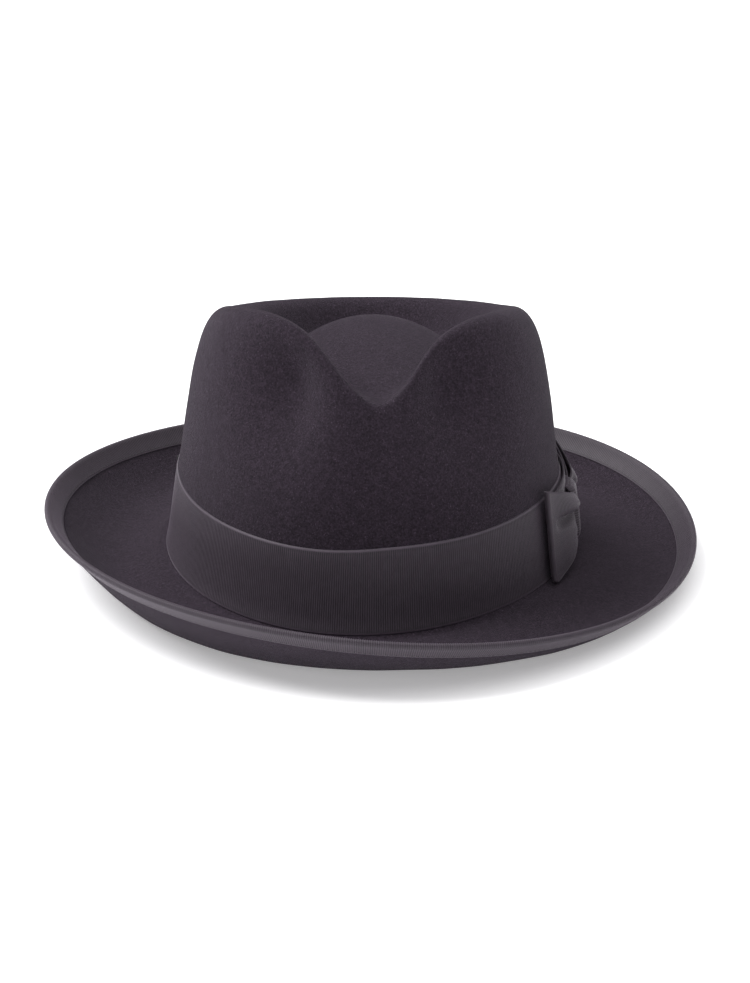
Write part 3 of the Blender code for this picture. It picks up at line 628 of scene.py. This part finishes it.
def uneven(points, size, depth):
    """How far a hand-blocked surface strays from its form, at each point."""
    flat = points.reshape(-1, 3)
    strays = [noise.noise(Vector(point / size)) for point in flat]
    return depth * np.array(strays).reshape(points.shape[:-1])


def edge_turn(top, under, normal):
    """The middle of the brim's edge, and directions that turn there from the upper face to the lower."""
    turn = np.linspace(0, np.pi, 7)[1:-1, None, None]
    return (top[0] + under[0]) / 2, np.cos(turn) * normal[0] + np.sin(turn) * unit(top[0] - top[1])


def make_felt():
    phi = angles(FELT_COLUMNS)
    top = felt_rings(phi)
    normal = normals(top)
    top = top + normal * uneven(top, 0.016, 0.00022)[..., None]
    steps = np.linalg.norm(np.diff(top, axis=0, prepend=top[:1]), axis=2)
    inward = smooth_step(BINDING_WIDTH * 0.6, BINDING_WIDTH * 1.5, np.cumsum(steps, axis=0))
    thick = EDGE_FELT + (FELT - EDGE_FELT) * inward
    under = top - thick[..., None] * normal
    under[..., 2] = np.maximum(under[..., 2], 0.00005)
    middle, ways = edge_turn(top, under, normal)
    section = np.concatenate([top[::-1], middle + EDGE_FELT / 2 * ways, under[::2]])
    poles = np.array([[MOUND_X, MOUND_Y, MOUND_Z], [MOUND_X, MOUND_Y, MOUND_Z - FELT]])
    add_piece("felt_body_fine", *with_poles(section, poles), "fur_felt", ["felt_body"])


# --- ribbons ---

def rib_wave(distance):
    """Height of a rib, 0 in the valleys and 1 on the crests, at distances along a ribbon."""
    return np.abs(np.sin(np.pi * distance / RIB_PITCH)) ** 0.8


def ring_ribs(count, per_rib):
    """Rib heights round a closed ribbon of count ribs."""
    share = np.arange(count * per_rib) / per_rib
    return np.abs(np.sin(np.pi * share)) ** 0.8


def ring_length(ring):
    return np.linalg.norm(ring - np.roll(ring, 1, axis=0), axis=1).sum()


def edge_length():
    """Length round the brim's edge."""
    return ring_length(brim_curve(angles(720), [1.0])[0])


def bound_edge(phi, inward):
    """The brim's upper face at distances in from its edge, with its normals."""
    outer_part = brim_curve(phi, np.linspace(1, 0.55, 40))
    top = along(outer_part, inward[:, None] * np.ones_like(phi))
    return top, normals(top)


def make_binding():
    """Ribbon folded over the brim's edge, its ribs across the fold and a selvedge thread on each side."""
    length = edge_length()
    ribs = round(length / RIB_PITCH)
    phi = angles(ribs * 3)
    wave = ring_ribs(ribs, 3)
    share = np.array([0.0, 0.16, 0.32, 0.48, 0.64, 0.80, 0.90, 0.94, 0.965, 0.985, 1.0])
    top, normal = bound_edge(phi, share * BINDING_WIDTH)
    under = top - EDGE_FELT * normal
    middle, ways = edge_turn(top, under, normal)

    def wrap(clear):
        upper = top + clear * normal
        lower = under - clear * normal
        fold = middle + (EDGE_FELT / 2 + clear) * ways
        return np.concatenate([upper[::-1], fold, lower])

    place = np.concatenate([share[::-1], np.zeros(len(ways)), share])[:, None]
    selvedge = hill(place, 0.965, 0.022)
    ribbed = 1 - smooth_step(0.90, 0.96, place)
    thinned = 1 - 0.8 * smooth_step(0.965, 1.0, place)
    proud = 1 + 0.8 * hill(place, 0.0, 0.12)
    clear_outer = SNUG + thinned * (BINDING_THICK + RIB_DEPTH * (proud * wave * ribbed + 0.9 * selvedge))
    outer = wrap(0.0) + (wrap(1.0) - wrap(0.0)) * clear_outer[..., None]
    inner = wrap(SNUG)[::4]
    section = np.concatenate([outer, inner[::-1]])[::-1]
    # rib values carry painted light into the colour: lighter crests and edge threads, darker valleys
    rib = np.concatenate([wave * ribbed + selvedge * SELVEDGE_HIGHLIGHT, np.zeros(inner.shape[:2])])[::-1]
    across = np.linspace(0, 2 * BINDING_WIDTH, len(section))[:, None] * np.ones_like(phi)
    values = {"rib": rib, "across": across}
    piece = add_ring("brim_binding_ribbon", section, "grosgrain", ["brim_binding"], values)


def make_binding_stitches():
    """Machine stitches along the binding's inner line, on both faces of the brim."""
    count = round(edge_length() / STITCH_PITCH)
    phi = angles(count)
    half = np.pi * STITCH_LENGTH / STITCH_PITCH / count
    clear = SNUG + BINDING_THICK + RIB_DEPTH / 2
    for name, above in (("binding_stitch_upper", True), ("binding_stitch_lower", False)):
        places = []
        for end in (phi - half, phi + half):
            top, normal = bound_edge(end, np.array([0.5, 1.0, 1.5]) * STITCH_INSET)
            if above:
                places.append((top[1] + clear * normal[1], normal[1]))
            else:
                places.append((top[1] - (EDGE_FELT + clear) * normal[1], -normal[1]))
        (starts, ways), (stops, _) = places
        parts = [stitch(a, b, way, FINE_THREAD, FINE_THREAD) for a, b, way in zip(starts, stops, ways)]
        add_threads(name + "_threads", parts, [name])


def crown_face(phi):
    """The crown's outer surface from the band's foot to its top, in rings."""
    foot_turn = np.arccos(1 - BAND_FOOT / FILLET) * 2 / np.pi
    return np.concatenate([fillet_curve(phi, [foot_turn]), wall_curve(phi, np.linspace(0.0, 0.36, 10))])


def band_face(phi, heights, proud):
    """Points standing proud of the crown at heights above the band's foot: (height, angle, axis)."""
    rings = crown_face(phi)
    heights, proud = (np.broadcast_to(value, (len(heights), len(phi))) for value in (heights, proud))
    result = sampled(rings, rings[..., 2] - rings[0, :, 2], heights)
    result[..., :2] += proud[..., None] * facing(phi)
    return result


def make_hat_band():
    """The wide ribbon round the crown's foot, its ribs upright."""
    length = ring_length(band_face(angles(720), np.array([[BAND_HEIGHT / 2]]), GAP)[0])
    ribs = round(length / RIB_PITCH)
    phi = angles(ribs * 4)
    wave = ring_ribs(ribs, 4)
    share = np.array([0.0, 0.012, 0.035, 0.07, 0.2, 0.35, 0.5, 0.65, 0.8, 0.93, 0.965, 0.988, 1.0])
    sway = 0.00025 * np.sin(3 * phi + 0.6) + 0.00018 * np.sin(7 * phi)
    levels = share[:, None] * BAND_HEIGHT + sway * share[:, None]
    edge = np.minimum(share, 1 - share)[:, None]
    ribbed = smooth_step(0.015, 0.05, edge)
    selvedge = hill(edge, 0.012, 0.012)
    thick = BAND_THICK * (0.45 + 0.35 * smooth_step(0.0, 0.02, edge))
    outer = band_face(phi, levels, SNUG + thick + RIB_DEPTH * (wave * ribbed + 0.3 * selvedge) - RIB_DEPTH)
    inner = band_face(phi, levels[::4], SNUG)
    section = np.concatenate([outer, inner[::-1]])
    # rib values carry painted light into the colour: lighter crests and edge threads, darker valleys
    rib = np.concatenate([wave * ribbed + SELVEDGE_HIGHLIGHT * selvedge * np.ones_like(phi), np.zeros(inner.shape[:2])])
    across = np.concatenate([levels, levels[::4][::-1]])
    values = {"rib": rib, "across": across}
    piece = add_ring("hat_band_ribbon", section, "grosgrain", ["hat_band"], values)


def make_band_tacks():
    """Bar tacks: three short threads side by side at each place."""
    for number, degrees in enumerate(TACK_ANGLES, start=1):
        parts = []
        for step in (-1, 0, 1):
            phi = np.radians(degrees) + np.array([0.0, 1e-4]) + step * TACK_SPACING / HEAD_B
            heights = BAND_HEIGHT - np.array(TACK_DEPTHS)[:, None]
            ends = band_face(phi, heights, GAP + BAND_THICK + RIB_DEPTH / 2)[:, 0]
            way = np.append(facing(phi)[0], 0.0)
            parts.append(stitch(*ends, way, THREAD, STITCH_ARCH))
        add_threads(f"band_tack_threads_{number}", parts, [f"band_tack_{number}"])


# --- the bow ---

def bow_points(distance, proud, height):
    """Places on the bow: distance along the band from the knot, how proud of the band, height on the band."""
    distance, proud, height = np.broadcast_arrays(distance, proud, height)
    phi = BOW_ANGLE - distance.ravel() / HEAD_B
    clear = GAP + BAND_THICK
    points = band_face(phi, height.ravel()[None], proud.ravel()[None] + clear)
    return points.reshape(distance.shape + (3,))


def both_faces(near, far):
    """A ribbon's two faces as one closed section across it."""
    return np.concatenate([near, far[:, ::-1]], axis=1)


def bow_skin(node, distance, proud, height, rib, flat):
    """A ribbon from its middle surface (path point, across): two skins half a thickness apart, closed."""
    distance, proud, height, rib = np.broadcast_arrays(distance, proud, height, rib)
    surface = bow_points(distance, proud, height)
    normal = unit(np.cross(np.gradient(surface, axis=0), np.gradient(surface, axis=1)))
    half = BOW_RIBBON / 2 + RIB_DEPTH * (rib[..., None] - 1) / 2
    section = both_faces(surface + half * normal, surface - half * normal)
    rows, columns = section.shape[:2]
    faces = quads(rows, columns, wrap_rows=False)
    for first in (0, (rows - 1) * columns):
        for i in range(columns // 2 - 1):
            cap = [first + i, first + i + 1, first + columns - 2 - i, first + columns - 1 - i]
            faces.append(cap if first else cap[::-1])
    reach = np.cumsum(np.linalg.norm(np.diff(surface, axis=1, prepend=surface[:, :1]), axis=2), axis=1)
    # rib values carry painted light into the colour: lighter crests, darker valleys
    values = {"rib": both_faces(rib, rib), "across": both_faces(reach, reach)}
    piece = add_piece(node + "_ribbon", section, faces, "grosgrain", [node], values)


def make_bow_base():
    """The flat ribbon under the loops."""
    distance = np.arange(-BASE_HALF_LENGTH, BASE_HALF_LENGTH, RIB_STEP)[:, None]
    height = np.linspace(BASE_LOW, BASE_HIGH, 9)[None]
    flat = (BASE_HIGH - BASE_LOW, 2 * BASE_HALF_LENGTH)
    bow_skin("bow_base", distance, GAP + BOW_RIBBON / 2, height, rib_wave(distance), flat)


def loop_path(end_proud, bulge):
    """A loop's way out, round its end and back, and how near each station is to the front and to the end."""
    bend = BOW_LENGTH - LOOP_END_ROOM
    low_path = GAP * 2 + BOW_RIBBON * 1.5
    radius = (end_proud - low_path) / 2
    out = np.arange(LOOP_START, bend, RIB_STEP)
    turn = np.linspace(-np.pi / 2, np.pi / 2, 14)[1:-1]
    distance = np.concatenate([out, bend + radius * np.cos(turn), out[::-1]])
    share = (out[::-1] - LOOP_START) / (bend - LOOP_START)
    knot_proud = min(LOOP_KNOT_PROUD, end_proud)
    back_proud = knot_proud + (end_proud - knot_proud) * share
    back_proud += bulge * np.sin(np.pi * share) ** 2
    end = low_path + radius + radius * np.sin(turn)
    proud = np.concatenate([np.full_like(out, low_path), end, back_proud])
    on_front = np.concatenate([0 * out, smooth_step(-1, 1, np.sin(turn)), 1 + 0 * out])
    spread = np.clip((distance - KNOT_HALF_WIDTH) / (bend - KNOT_HALF_WIDTH), 0, 1)
    lowest = low_path + 1.1 * BOW_RIBBON * on_front  # the upper layer stays clear of the lower one
    return (values[:, None] for values in (distance, proud, on_front, spread, lowest))


def make_bow_loop(node, way, end_proud, bulge, pleat):
    """A loop towards the front (way = 1) or the back (-1), with a crease between two lobes."""
    distance, proud, on_front, spread, lowest = loop_path(end_proud, bulge)
    height = LOOP_KNOT_HEIGHT + (LOOP_HEIGHT - LOOP_KNOT_HEIGHT) * spread
    middle = LOOP_KNOT_MIDDLE + (LOOP_MIDDLE - LOOP_KNOT_MIDDLE) * spread
    across = np.linspace(-1, 1, 33)[None]
    near_knot = 1 - smooth_step(0.25, 0.95, spread)
    creased = 1 - smooth_step(0.65, 0.92, spread)
    clear_of_knot = smooth_step(0.0, 0.22, spread)
    fold = FOLD_PLACE + FOLD_SLANT * (1 - spread)
    upper = UPPER_LOBE * hill(across, fold + UPPER_LOBE_PLACE, UPPER_LOBE_HALF)
    lower = LOWER_LOBE * hill(across, fold - LOWER_LOBE_PLACE, LOWER_LOBE_HALF)
    crease = -LOOP_CREASE * hill(across, fold, LOOP_CREASE_HALF)
    pleats = pleat * np.sin(4.5 * np.pi * across) * (1 - spread)
    lobes = ((upper + lower) * near_knot + crease * creased) * on_front + pleats
    proud = np.maximum(proud + lobes * clear_of_knot, lowest)
    flat = (LOOP_HEIGHT, 2 * (BOW_LENGTH - LOOP_END_ROOM))
    skin = distance * way, proud, middle + height / 2 * across, rib_wave(distance)
    bow_skin(node, *(values[::way] for values in skin), flat)


def make_bow_knot():
    """The ribbon wrapped over the bow's middle, its ribs level, with soft folds."""
    deep, flat_half = GAP * 2 + BOW_RIBBON, KNOT_HEIGHT / 2 - KNOT_SHOULDER
    turn = np.linspace(0, np.pi / 2, 9)
    rounding = KNOT_PROUD - KNOT_ROUND + KNOT_ROUND * np.sin(turn), -flat_half - KNOT_ROUND * np.cos(turn)
    corner = np.stack(rounding, -1)
    up = np.arange(-flat_half, flat_half, RIB_STEP)
    face = np.stack([np.full_like(up, KNOT_PROUD), up], -1)
    foot = np.array([[deep, -flat_half - KNOT_ROUND]])
    outline = np.concatenate([foot, corner, face[1:], corner[::-1] * [1, -1], foot * [1, -1]])
    travelled = np.cumsum(np.linalg.norm(np.diff(outline, axis=0, prepend=outline[:1]), axis=1))
    share = np.linspace(1, -1, 25)[None]
    over = np.sin(np.linspace(0, np.pi, len(outline)))[:, None]
    folds = KNOT_FOLD * np.cos(3.5 * np.pi * share) * over
    tuck = KNOT_TUCK * np.abs(share) ** 5 * (outline[:, :1] > 2 * deep)
    proud = outline[:, :1] + folds - tuck - BOW_RIBBON / 2
    distance = share * KNOT_HALF_WIDTH * (1 - KNOT_WAIST * over)
    height = KNOT_MIDDLE + outline[:, 1:]
    flat = (2 * KNOT_HALF_WIDTH, travelled[-1])
    bow_skin("bow_knot", distance, proud, height, rib_wave(travelled)[:, None], flat)


def make_bow_stitch():
    """Threads side by side that tie the knot down."""
    low = KNOT_MIDDLE - KNOT_HEIGHT / 2 - GAP
    way = np.append(facing(np.array([BOW_ANGLE]))[0], 0.0)
    parts = []
    for step in range(TIE_THREADS):
        height = low - TIE_SPACING * step - TIE_DROP
        ends = bow_points(np.array([-TIE_HALF_WIDTH, TIE_HALF_WIDTH]), TIE_PROUD, height)
        parts.append(stitch(*ends, way, THREAD * 0.7, TIE_ARCH))
    add_threads("bow_stitch_threads", parts, ["bow_stitch"])


# --- inside the crown ---

def inside_wall(phi, height, inset):
    """Points inset from the felt's inner face at set heights: (height, angle, axis)."""
    fillet, wall = fillet_curve(phi, np.linspace(0, 1, 8)), wall_curve(phi, np.linspace(0, 1, 40))
    rings = np.concatenate([fillet, wall[1:]])
    height = np.broadcast_to(height, (len(height), len(phi)))
    result = sampled(rings, rings[..., 2], height)
    result[..., :2] -= (FELT + np.broadcast_to(inset, height.shape))[..., None] * facing(phi)
    result[..., 2] = height
    return result


def above_break(phi, heights):
    return break_height(phi) + np.asarray(heights)[:, None]


def sweat_inset(share):
    return SWEAT_INSET + (SWEAT_TOP_INSET - SWEAT_INSET) * np.asarray(share)


def level_ring(phi, centre, radius, sides):
    """A cord's section (side, angle, axis) round a level path of centres."""
    side = np.stack([np.sin(phi), -np.cos(phi), np.zeros_like(phi)], -1)
    up = np.array([0.0, 0.0, 1.0])
    turns = angles(sides)[:, None, None]
    return centre + radius[:, None] * (np.cos(turns) * side + np.sin(turns) * up)


def make_sweatband():
    """Leather with a rounded upper edge, a pressed line above its sewn edge and faint waves."""
    phi = angles(320)
    share = np.concatenate([np.linspace(0, 0.12, 9), np.linspace(0.14, 0.96, 22), [0.985, 0.996, 1.0]])
    height = above_break(phi, SWEAT_FOOT + SWEAT_HEIGHT * share)
    waves = 0.00022 * np.sin(5 * phi + 1.0) * share[:, None] + 0.00012 * np.sin(17 * phi) * share[:, None]
    pressed = -0.00022 * hill(share, 0.115, 0.012)[:, None]
    edge = SWEAT_THICK * 0.42 * smooth_step(0.96, 1.0, share)[:, None] ** 2
    face = sweat_inset(share)[:, None] + waves
    outer = inside_wall(phi, height, face + edge)
    inner = inside_wall(phi, height, face + SWEAT_THICK + pressed - edge)
    section = np.concatenate([outer, inner[::-1]])
    piece = add_ring("sweatband_leather", section, "sweat_leather", ["sweatband"])


def make_reed():
    """The covered cord sewn to the leather's lower edge."""
    phi = angles(320)
    centre = inside_wall(phi, above_break(phi, [REED_HEIGHT]), REED_INSET)[0]
    section = level_ring(phi, centre, REED_RADIUS * (1 + 0.06 * np.sin(CORD_TURNS * phi)), 12)
    add_ring("sweatband_reed_cord", section, "piping_cord", ["sweatband_reed"])


def make_reed_tape():
    """The woven tape between the leather and the felt."""
    phi = angles(720)
    height = above_break(phi, SWEAT_FOOT + GAP + (TAPE_HEIGHT - GAP) * np.linspace(0, 1, 7))
    wave = np.sin(TAPE_RIBS * phi)
    outer = inside_wall(phi, height, GAP)
    inner = inside_wall(phi, height, GAP + TAPE_THICK + 0.00006 * wave)
    section = np.concatenate([outer, inner[::-1]])
    # rib values carry painted light into the colour: lighter crests, darker valleys on the inner face
    rib = np.concatenate([np.ones(height.shape), (0.5 + 0.5 * wave) * np.ones(height.shape)])
    across = np.concatenate([height, height[::-1]])
    add_ring("reed_tape_woven", section, "tape", ["reed_tape"], {"rib": rib, "across": across})


def make_zigzag():
    """The zigzag seam that joins the leather to its reed."""
    phi = angles(ZIGZAG_STITCHES)
    swing = ZIGZAG_SWING * np.where(np.arange(ZIGZAG_STITCHES) % 2 == 0, 1, -1)
    height = (break_height(phi) + SWEAT_FOOT + ZIGZAG_HEIGHT + swing)[None]
    places = inside_wall(phi, height, SWEAT_INSET + SWEAT_THICK)[0]
    ways = -np.concatenate([facing(phi), np.zeros((ZIGZAG_STITCHES, 1))], -1)
    ends = zip(places, np.roll(places, -1, axis=0), ways)
    parts = [stitch(start, stop, way, THREAD, STITCH_ARCH) for start, stop, way in ends]
    add_threads("sweatband_zigzag_threads", parts, ["sweatband_stitching"])


def crowded(count):
    """Places from -1 to 1 that crowd towards both ends."""
    even = np.linspace(-1, 1, count)
    return np.sign(even) * (1 - (1 - np.abs(even)) ** PATCH_CROWDING)


def wall_patch(name, angle, half_width, low, high, thick, corner, slot, node, bulge=0.0):
    """A small piece lying on the leather's inner face, with rounded corners and a soft edge."""
    across, up = crowded(PATCH_POINTS)[None], crowded(PATCH_POINTS)[:, None]
    tall = (high - low) * SWEAT_HEIGHT / 2
    z = up * tall
    past_corner = np.clip(np.abs(z) - (tall - corner), 0, None)
    narrowed = half_width - corner + np.sqrt(np.clip(corner**2 - past_corner**2, 0, None))
    phi = angle + across * narrowed / HEAD_B
    share = (low + high) / 2 + z / SWEAT_HEIGHT
    edge = np.minimum(1 - np.abs(across), 1 - np.abs(up))
    depth = thick * smooth_step(0.0, 0.03, edge) + bulge * (1 - across**2) * (1 - up**2)
    base = sweat_inset(share) + SWEAT_THICK + GAP + 0 * phi
    height = break_height(phi) + SWEAT_FOOT + SWEAT_HEIGHT * share

    def laid(inset):
        return inside_wall(phi.ravel(), height.ravel()[None], inset.ravel()[None])[0]

    grid = np.arange(phi.size).reshape(phi.shape)
    border = np.concatenate([grid[0], grid[1:, -1], grid[-1, -2::-1], grid[-2:0:-1, 0]])
    border, following = border.tolist(), np.roll(border, -1).tolist()
    faces = quads(*phi.shape, wrap_rows=False, wrap_columns=False)
    faces += [[corner_point + phi.size for corner_point in face[::-1]] for face in faces]
    faces += [[a + phi.size, b + phi.size, b, a] for a, b in zip(border, following)]
    add_piece(name, np.concatenate([laid(base), laid(base + depth + PATCH_RISE)]), faces, slot, [node])


def make_rear_bow():
    """The tiny ribbon bow on the leather's back seam: two flat loops and a knot."""
    middle_height = SWEAT_FOOT + REAR_BOW_HEIGHT
    face = SWEAT_TOP_INSET + SWEAT_THICK + REAR_BOW_PROUD

    def placed(x, rise, depth):
        phi = np.pi + x / HEAD_B
        return inside_wall(phi, (break_height(phi) + middle_height + rise)[None], (face + depth)[None])[0]

    turn = angles(40)
    parts = []
    for side in (-1, 1):
        x = side * (REAR_BOW_ROOT + REAR_BOW_REACH * (1 - np.cos(turn)) / 2)
        opening = REAR_BOW_OPEN * np.sin(turn)
        half_height = REAR_BOW_WAIST + REAR_BOW_FLARE * np.abs(x) / (REAR_BOW_ROOT + REAR_BOW_REACH)
        rows = []
        for level, thick in ((-1, 0), (1, 0), (1, REAR_BOW_THICK), (-1, REAR_BOW_THICK)):
            depth = REAR_KNOT_DEEP + opening + thick * np.sign(opening + 1e-9)
            rows.append(placed(x, level * half_height, depth))
        parts.append((np.stack(rows, axis=1).reshape(-1, 3), quads(len(turn), 4)))
    turn = angles(16)
    rows = []
    for rise in np.linspace(-REAR_KNOT_HALF, REAR_KNOT_HALF, 7):
        swell = 1 + 0.25 * np.cos(rise / REAR_KNOT_HALF * np.pi / 2)
        depth = 0.0013 + REAR_KNOT_DEEP * np.sin(turn) * swell
        rows.append(placed(REAR_KNOT_WIDE * np.cos(turn) * swell, rise, depth))
    parts.append((np.concatenate(rows), capped_grid(len(rows), len(turn))))
    points, faces = joined(parts)
    values = {"rib": np.ones(len(points)), "across": points[:, 2]}
    fix_facing(add_piece("sweatband_rear_bow_ribbon", points, faces, "tape", ["sweatband_rear_bow"], values))


def fix_facing(piece):
    """Turns every face of a closed piece outwards."""
    shape = bmesh.new()
    shape.from_mesh(piece.data)
    bmesh.ops.recalc_face_normals(shape, faces=shape.faces)
    shape.to_mesh(piece.data)
    shape.free()


def lining_section(phi, extra, levels):
    """Upright behind the leather, then leaning in to the lining's tip, with pleats that grow to the top."""
    share = np.linspace(0, 1, levels)
    bend = break_height(phi) + LINING_BEND
    lean_heights = bend + (LINING_TOP_Z - bend) * share[:, None]
    height = np.concatenate([above_break(phi, [LINING_FOOT]), lean_heights])
    inset = LINING_INSET + (LINING_TOP_INSET - LINING_INSET) * np.concatenate([[0.0], share**1.6])
    growth = np.concatenate([[0.0], share**1.2])[:, None]
    first, second = LINING_PLEATS
    pleats = LINING_PLEAT_DEPTH * (np.sin(first * phi) + 0.4 * np.sin(second * phi + 1.3)) * growth
    return inside_wall(phi, height, inset[:, None] + extra + 0.0006 * growth + pleats)


def make_lining_side():
    """Satin gathered into small pleats where it meets the tip."""
    phi, levels = angles(900), 20
    inner_face = lining_section(phi, LINING_THICK, levels)
    section = np.concatenate([lining_section(phi, 0.0, levels), inner_face[::-1]])
    piece = add_ring("lining_side_satin", section, "satin", ["lining_side"])


def lining_rim(phi, inset):
    """The oval where the lining's side ends and its tip begins."""
    height = np.full((1, len(phi)), LINING_TOP_Z + PIPING_RADIUS + 1.5 * GAP)
    return inside_wall(phi, height, LINING_TOP_INSET + inset)[0]


def make_piping():
    """The covered cord between the lining's side and its tip."""
    phi = angles(480)
    twist = PIPING_RADIUS * (1 + 0.05 * np.sin(TAPE_RIBS * phi))
    section = level_ring(phi, lining_rim(phi, PIPING_RADIUS), twist, 12)
    add_ring("lining_piping_cord", section, "piping_cord", ["lining_piping"])


def domed_panel(name, rim, share, drop, thick, slot, node, wave):
    """A shallow dome under the lining's rim plane: share (ring, angle) says how far out each ring lies."""
    middle = rim.mean(axis=0)

    def face(extra):
        points = middle + (rim - middle) * share[..., None]
        points[..., 2] += LINING_DOME * (1 - share**2) - drop - extra + wave
        return points

    section = np.concatenate([face(0), face(thick)[::-1]])
    poles = np.array([middle + [0, 0, LINING_DOME - drop], middle + [0, 0, LINING_DOME - drop - thick]])
    return add_piece(name, *with_poles(section, poles), slot, [node])


def make_lining_tip():
    """The satin oval inside the crown's top, puckered at its sewn edge."""
    phi = angles(480)
    rim = lining_rim(phi, TIP_INSET)
    share = np.linspace(0.03, 1.0, 40)[:, None] * np.ones_like(phi)
    puckers = 0.00022 * np.sin(96 * phi) * share**12
    piece = domed_panel("lining_tip_satin", rim, share, 0.0, LINING_THICK, "satin", "lining_tip", puckers)


def shield_reach(phi, rim, middle):
    """How far out the shield's edge lies at each angle, where the lining's rim is 1."""
    oval = np.stack([SHIELD_A * np.sin(phi), -SHIELD_B * np.cos(phi)], -1)
    return np.linalg.norm(oval, axis=1) / np.linalg.norm((rim - middle)[:, :2], axis=1)


def make_tip_shield():
    """The clear oval under the lining's tip, with its sewn edge."""
    phi = angles(240)
    rim = lining_rim(phi, TIP_INSET)
    middle = rim.mean(axis=0)
    share = np.linspace(0.05, 1.0, 24)[:, None] * shield_reach(phi, rim, middle)
    sag = 0.00012 * np.sin(3 * phi + 4 * share)
    drop = LINING_THICK + GAP
    domed_panel("tip_shield_film", rim, share, drop, SHIELD_THICK, "clear_shield", "tip_shield", sag)
    phi = angles(SHIELD_STITCHES)
    rim = lining_rim(phi, TIP_INSET)
    reach = SHIELD_SEAM * shield_reach(phi, rim, middle)
    places = middle + (rim - middle) * reach[:, None]
    places[:, 2] += LINING_DOME * (1 - reach**2) - drop - SHIELD_THICK
    steps = np.roll(places, -1, axis=0) - places
    down = np.array([0.0, 0.0, -1.0])
    ends = zip(places + 0.12 * steps, places + 0.88 * steps)
    add_threads("tip_shield_stitches", [stitch(*pair, down, THREAD, STITCH_ARCH) for pair in ends])


def make_inside():
    make_sweatband()
    make_reed()
    make_reed_tape()
    make_zigzag()
    wall_patch("sweatband_seam_tape_leather", np.pi, SEAM_TAPE_HALF, SEAM_TAPE_LOW, SEAM_TAPE_HIGH,
               SEAM_TAPE_THICK, 0.0008, "sweat_leather", "sweatband_seam_tape")
    wall_patch("size_tag_paper", np.pi - TAG_TURN, TAG_HALF, TAG_LOW, TAG_HIGH,
               TAG_THICK, 0.0010, "paper_tag", "size_tag", TAG_BULGE)
    make_rear_bow()
    make_lining_side()
    make_lining_tip()
    make_piping()
    make_tip_shield()


# --- camera, floor and light ---

def placed_in_scene(name, data):
    """A new object with the given data, its turn to be set as a quaternion."""
    thing = bpy.data.objects.new(name, data)
    bpy.context.scene.collection.objects.link(thing)
    thing.rotation_mode = "QUATERNION"
    return thing


def make_camera():
    data = bpy.data.cameras.new("camera")
    data.lens = CAMERA_LENS
    data.sensor_width = 36.0
    camera = placed_in_scene("camera", data)
    back = Vector((0.0, -np.cos(CAMERA_ELEVATION), np.sin(CAMERA_ELEVATION)))
    camera.location = Vector(CAMERA_AIM) + back * CAMERA_DISTANCE
    camera.rotation_quaternion = (-back).to_track_quat("-Z", "Y")
    bpy.context.scene.camera = camera


def make_floor():
    mesh = bpy.data.meshes.new("floor")
    corners = [(x * TABLE_HALF, y * TABLE_HALF, 0) for x, y in ((-1, -1), (1, -1), (1, 1), (-1, 1))]
    mesh.from_pydata(corners, [], [(0, 1, 2, 3)])
    paint = Nodes("lit_table", TABLE_COLOUR, 0.9, Specular_IOR_Level=0.1, Emission_Strength=TABLE_GLOW)
    paint.shader.inputs["Emission Color"].default_value = (1.0, 0.99, 1.0, 1)
    mesh.materials.append(paint.material)
    floor = bpy.data.objects.new("floor", mesh)
    bpy.context.scene.collection.objects.link(floor)
    floor.location.z = -TABLE_DROP


def add_sun(name, elevation, azimuth, strength, softness):
    """Soft light from a direction: azimuth 0 is the front, and it grows towards the bow's side."""
    data = bpy.data.lights.new(name, "SUN")
    data.energy = strength
    data.angle = np.radians(softness)
    light = placed_in_scene(name, data)
    e, a = np.radians(elevation), np.radians(azimuth)
    way = Vector((np.sin(a) * np.cos(e), -np.cos(a) * np.cos(e), np.sin(e)))
    light.rotation_quaternion = way.to_track_quat("Z", "Y")


def make_world():
    """White where it is seen, dimmer as a light, so that the softboxes shape the hat."""
    world = bpy.data.worlds.new("studio")
    world.use_nodes = True
    tree = world.node_tree
    backdrop = tree.nodes["Background"]
    backdrop.inputs["Color"].default_value = (1, 1, 1, 1)
    seen = tree.nodes.new("ShaderNodeLightPath").outputs["Is Camera Ray"]
    strength = tree.nodes.new("ShaderNodeMapRange")
    strength.inputs["To Min"].default_value = WORLD_LIGHT
    strength.inputs["To Max"].default_value = WORLD_SEEN
    tree.links.new(seen, strength.inputs["Value"])
    tree.links.new(strength.outputs["Result"], backdrop.inputs["Strength"])
    bpy.context.scene.world = world


def make_studio():
    make_camera()
    make_floor()
    make_world()
    for sun in SUNS:
        add_sun(*sun)
    bpy.context.scene.view_settings.view_transform = "Standard"


def main():
    make_studio()
    make_felt()
    make_binding()
    make_binding_stitches()
    make_hat_band()
    make_band_tacks()
    make_bow_base()
    make_bow_loop("bow_front_loop", 1, LOOP_END_PROUD, LOOP_BULGE, FRONT_PLEAT)
    make_bow_loop("bow_rear_loop", -1, REAR_END_PROUD, REAR_BULGE, REAR_PLEAT)
    make_bow_knot()
    make_bow_stitch()
    make_inside()


main()
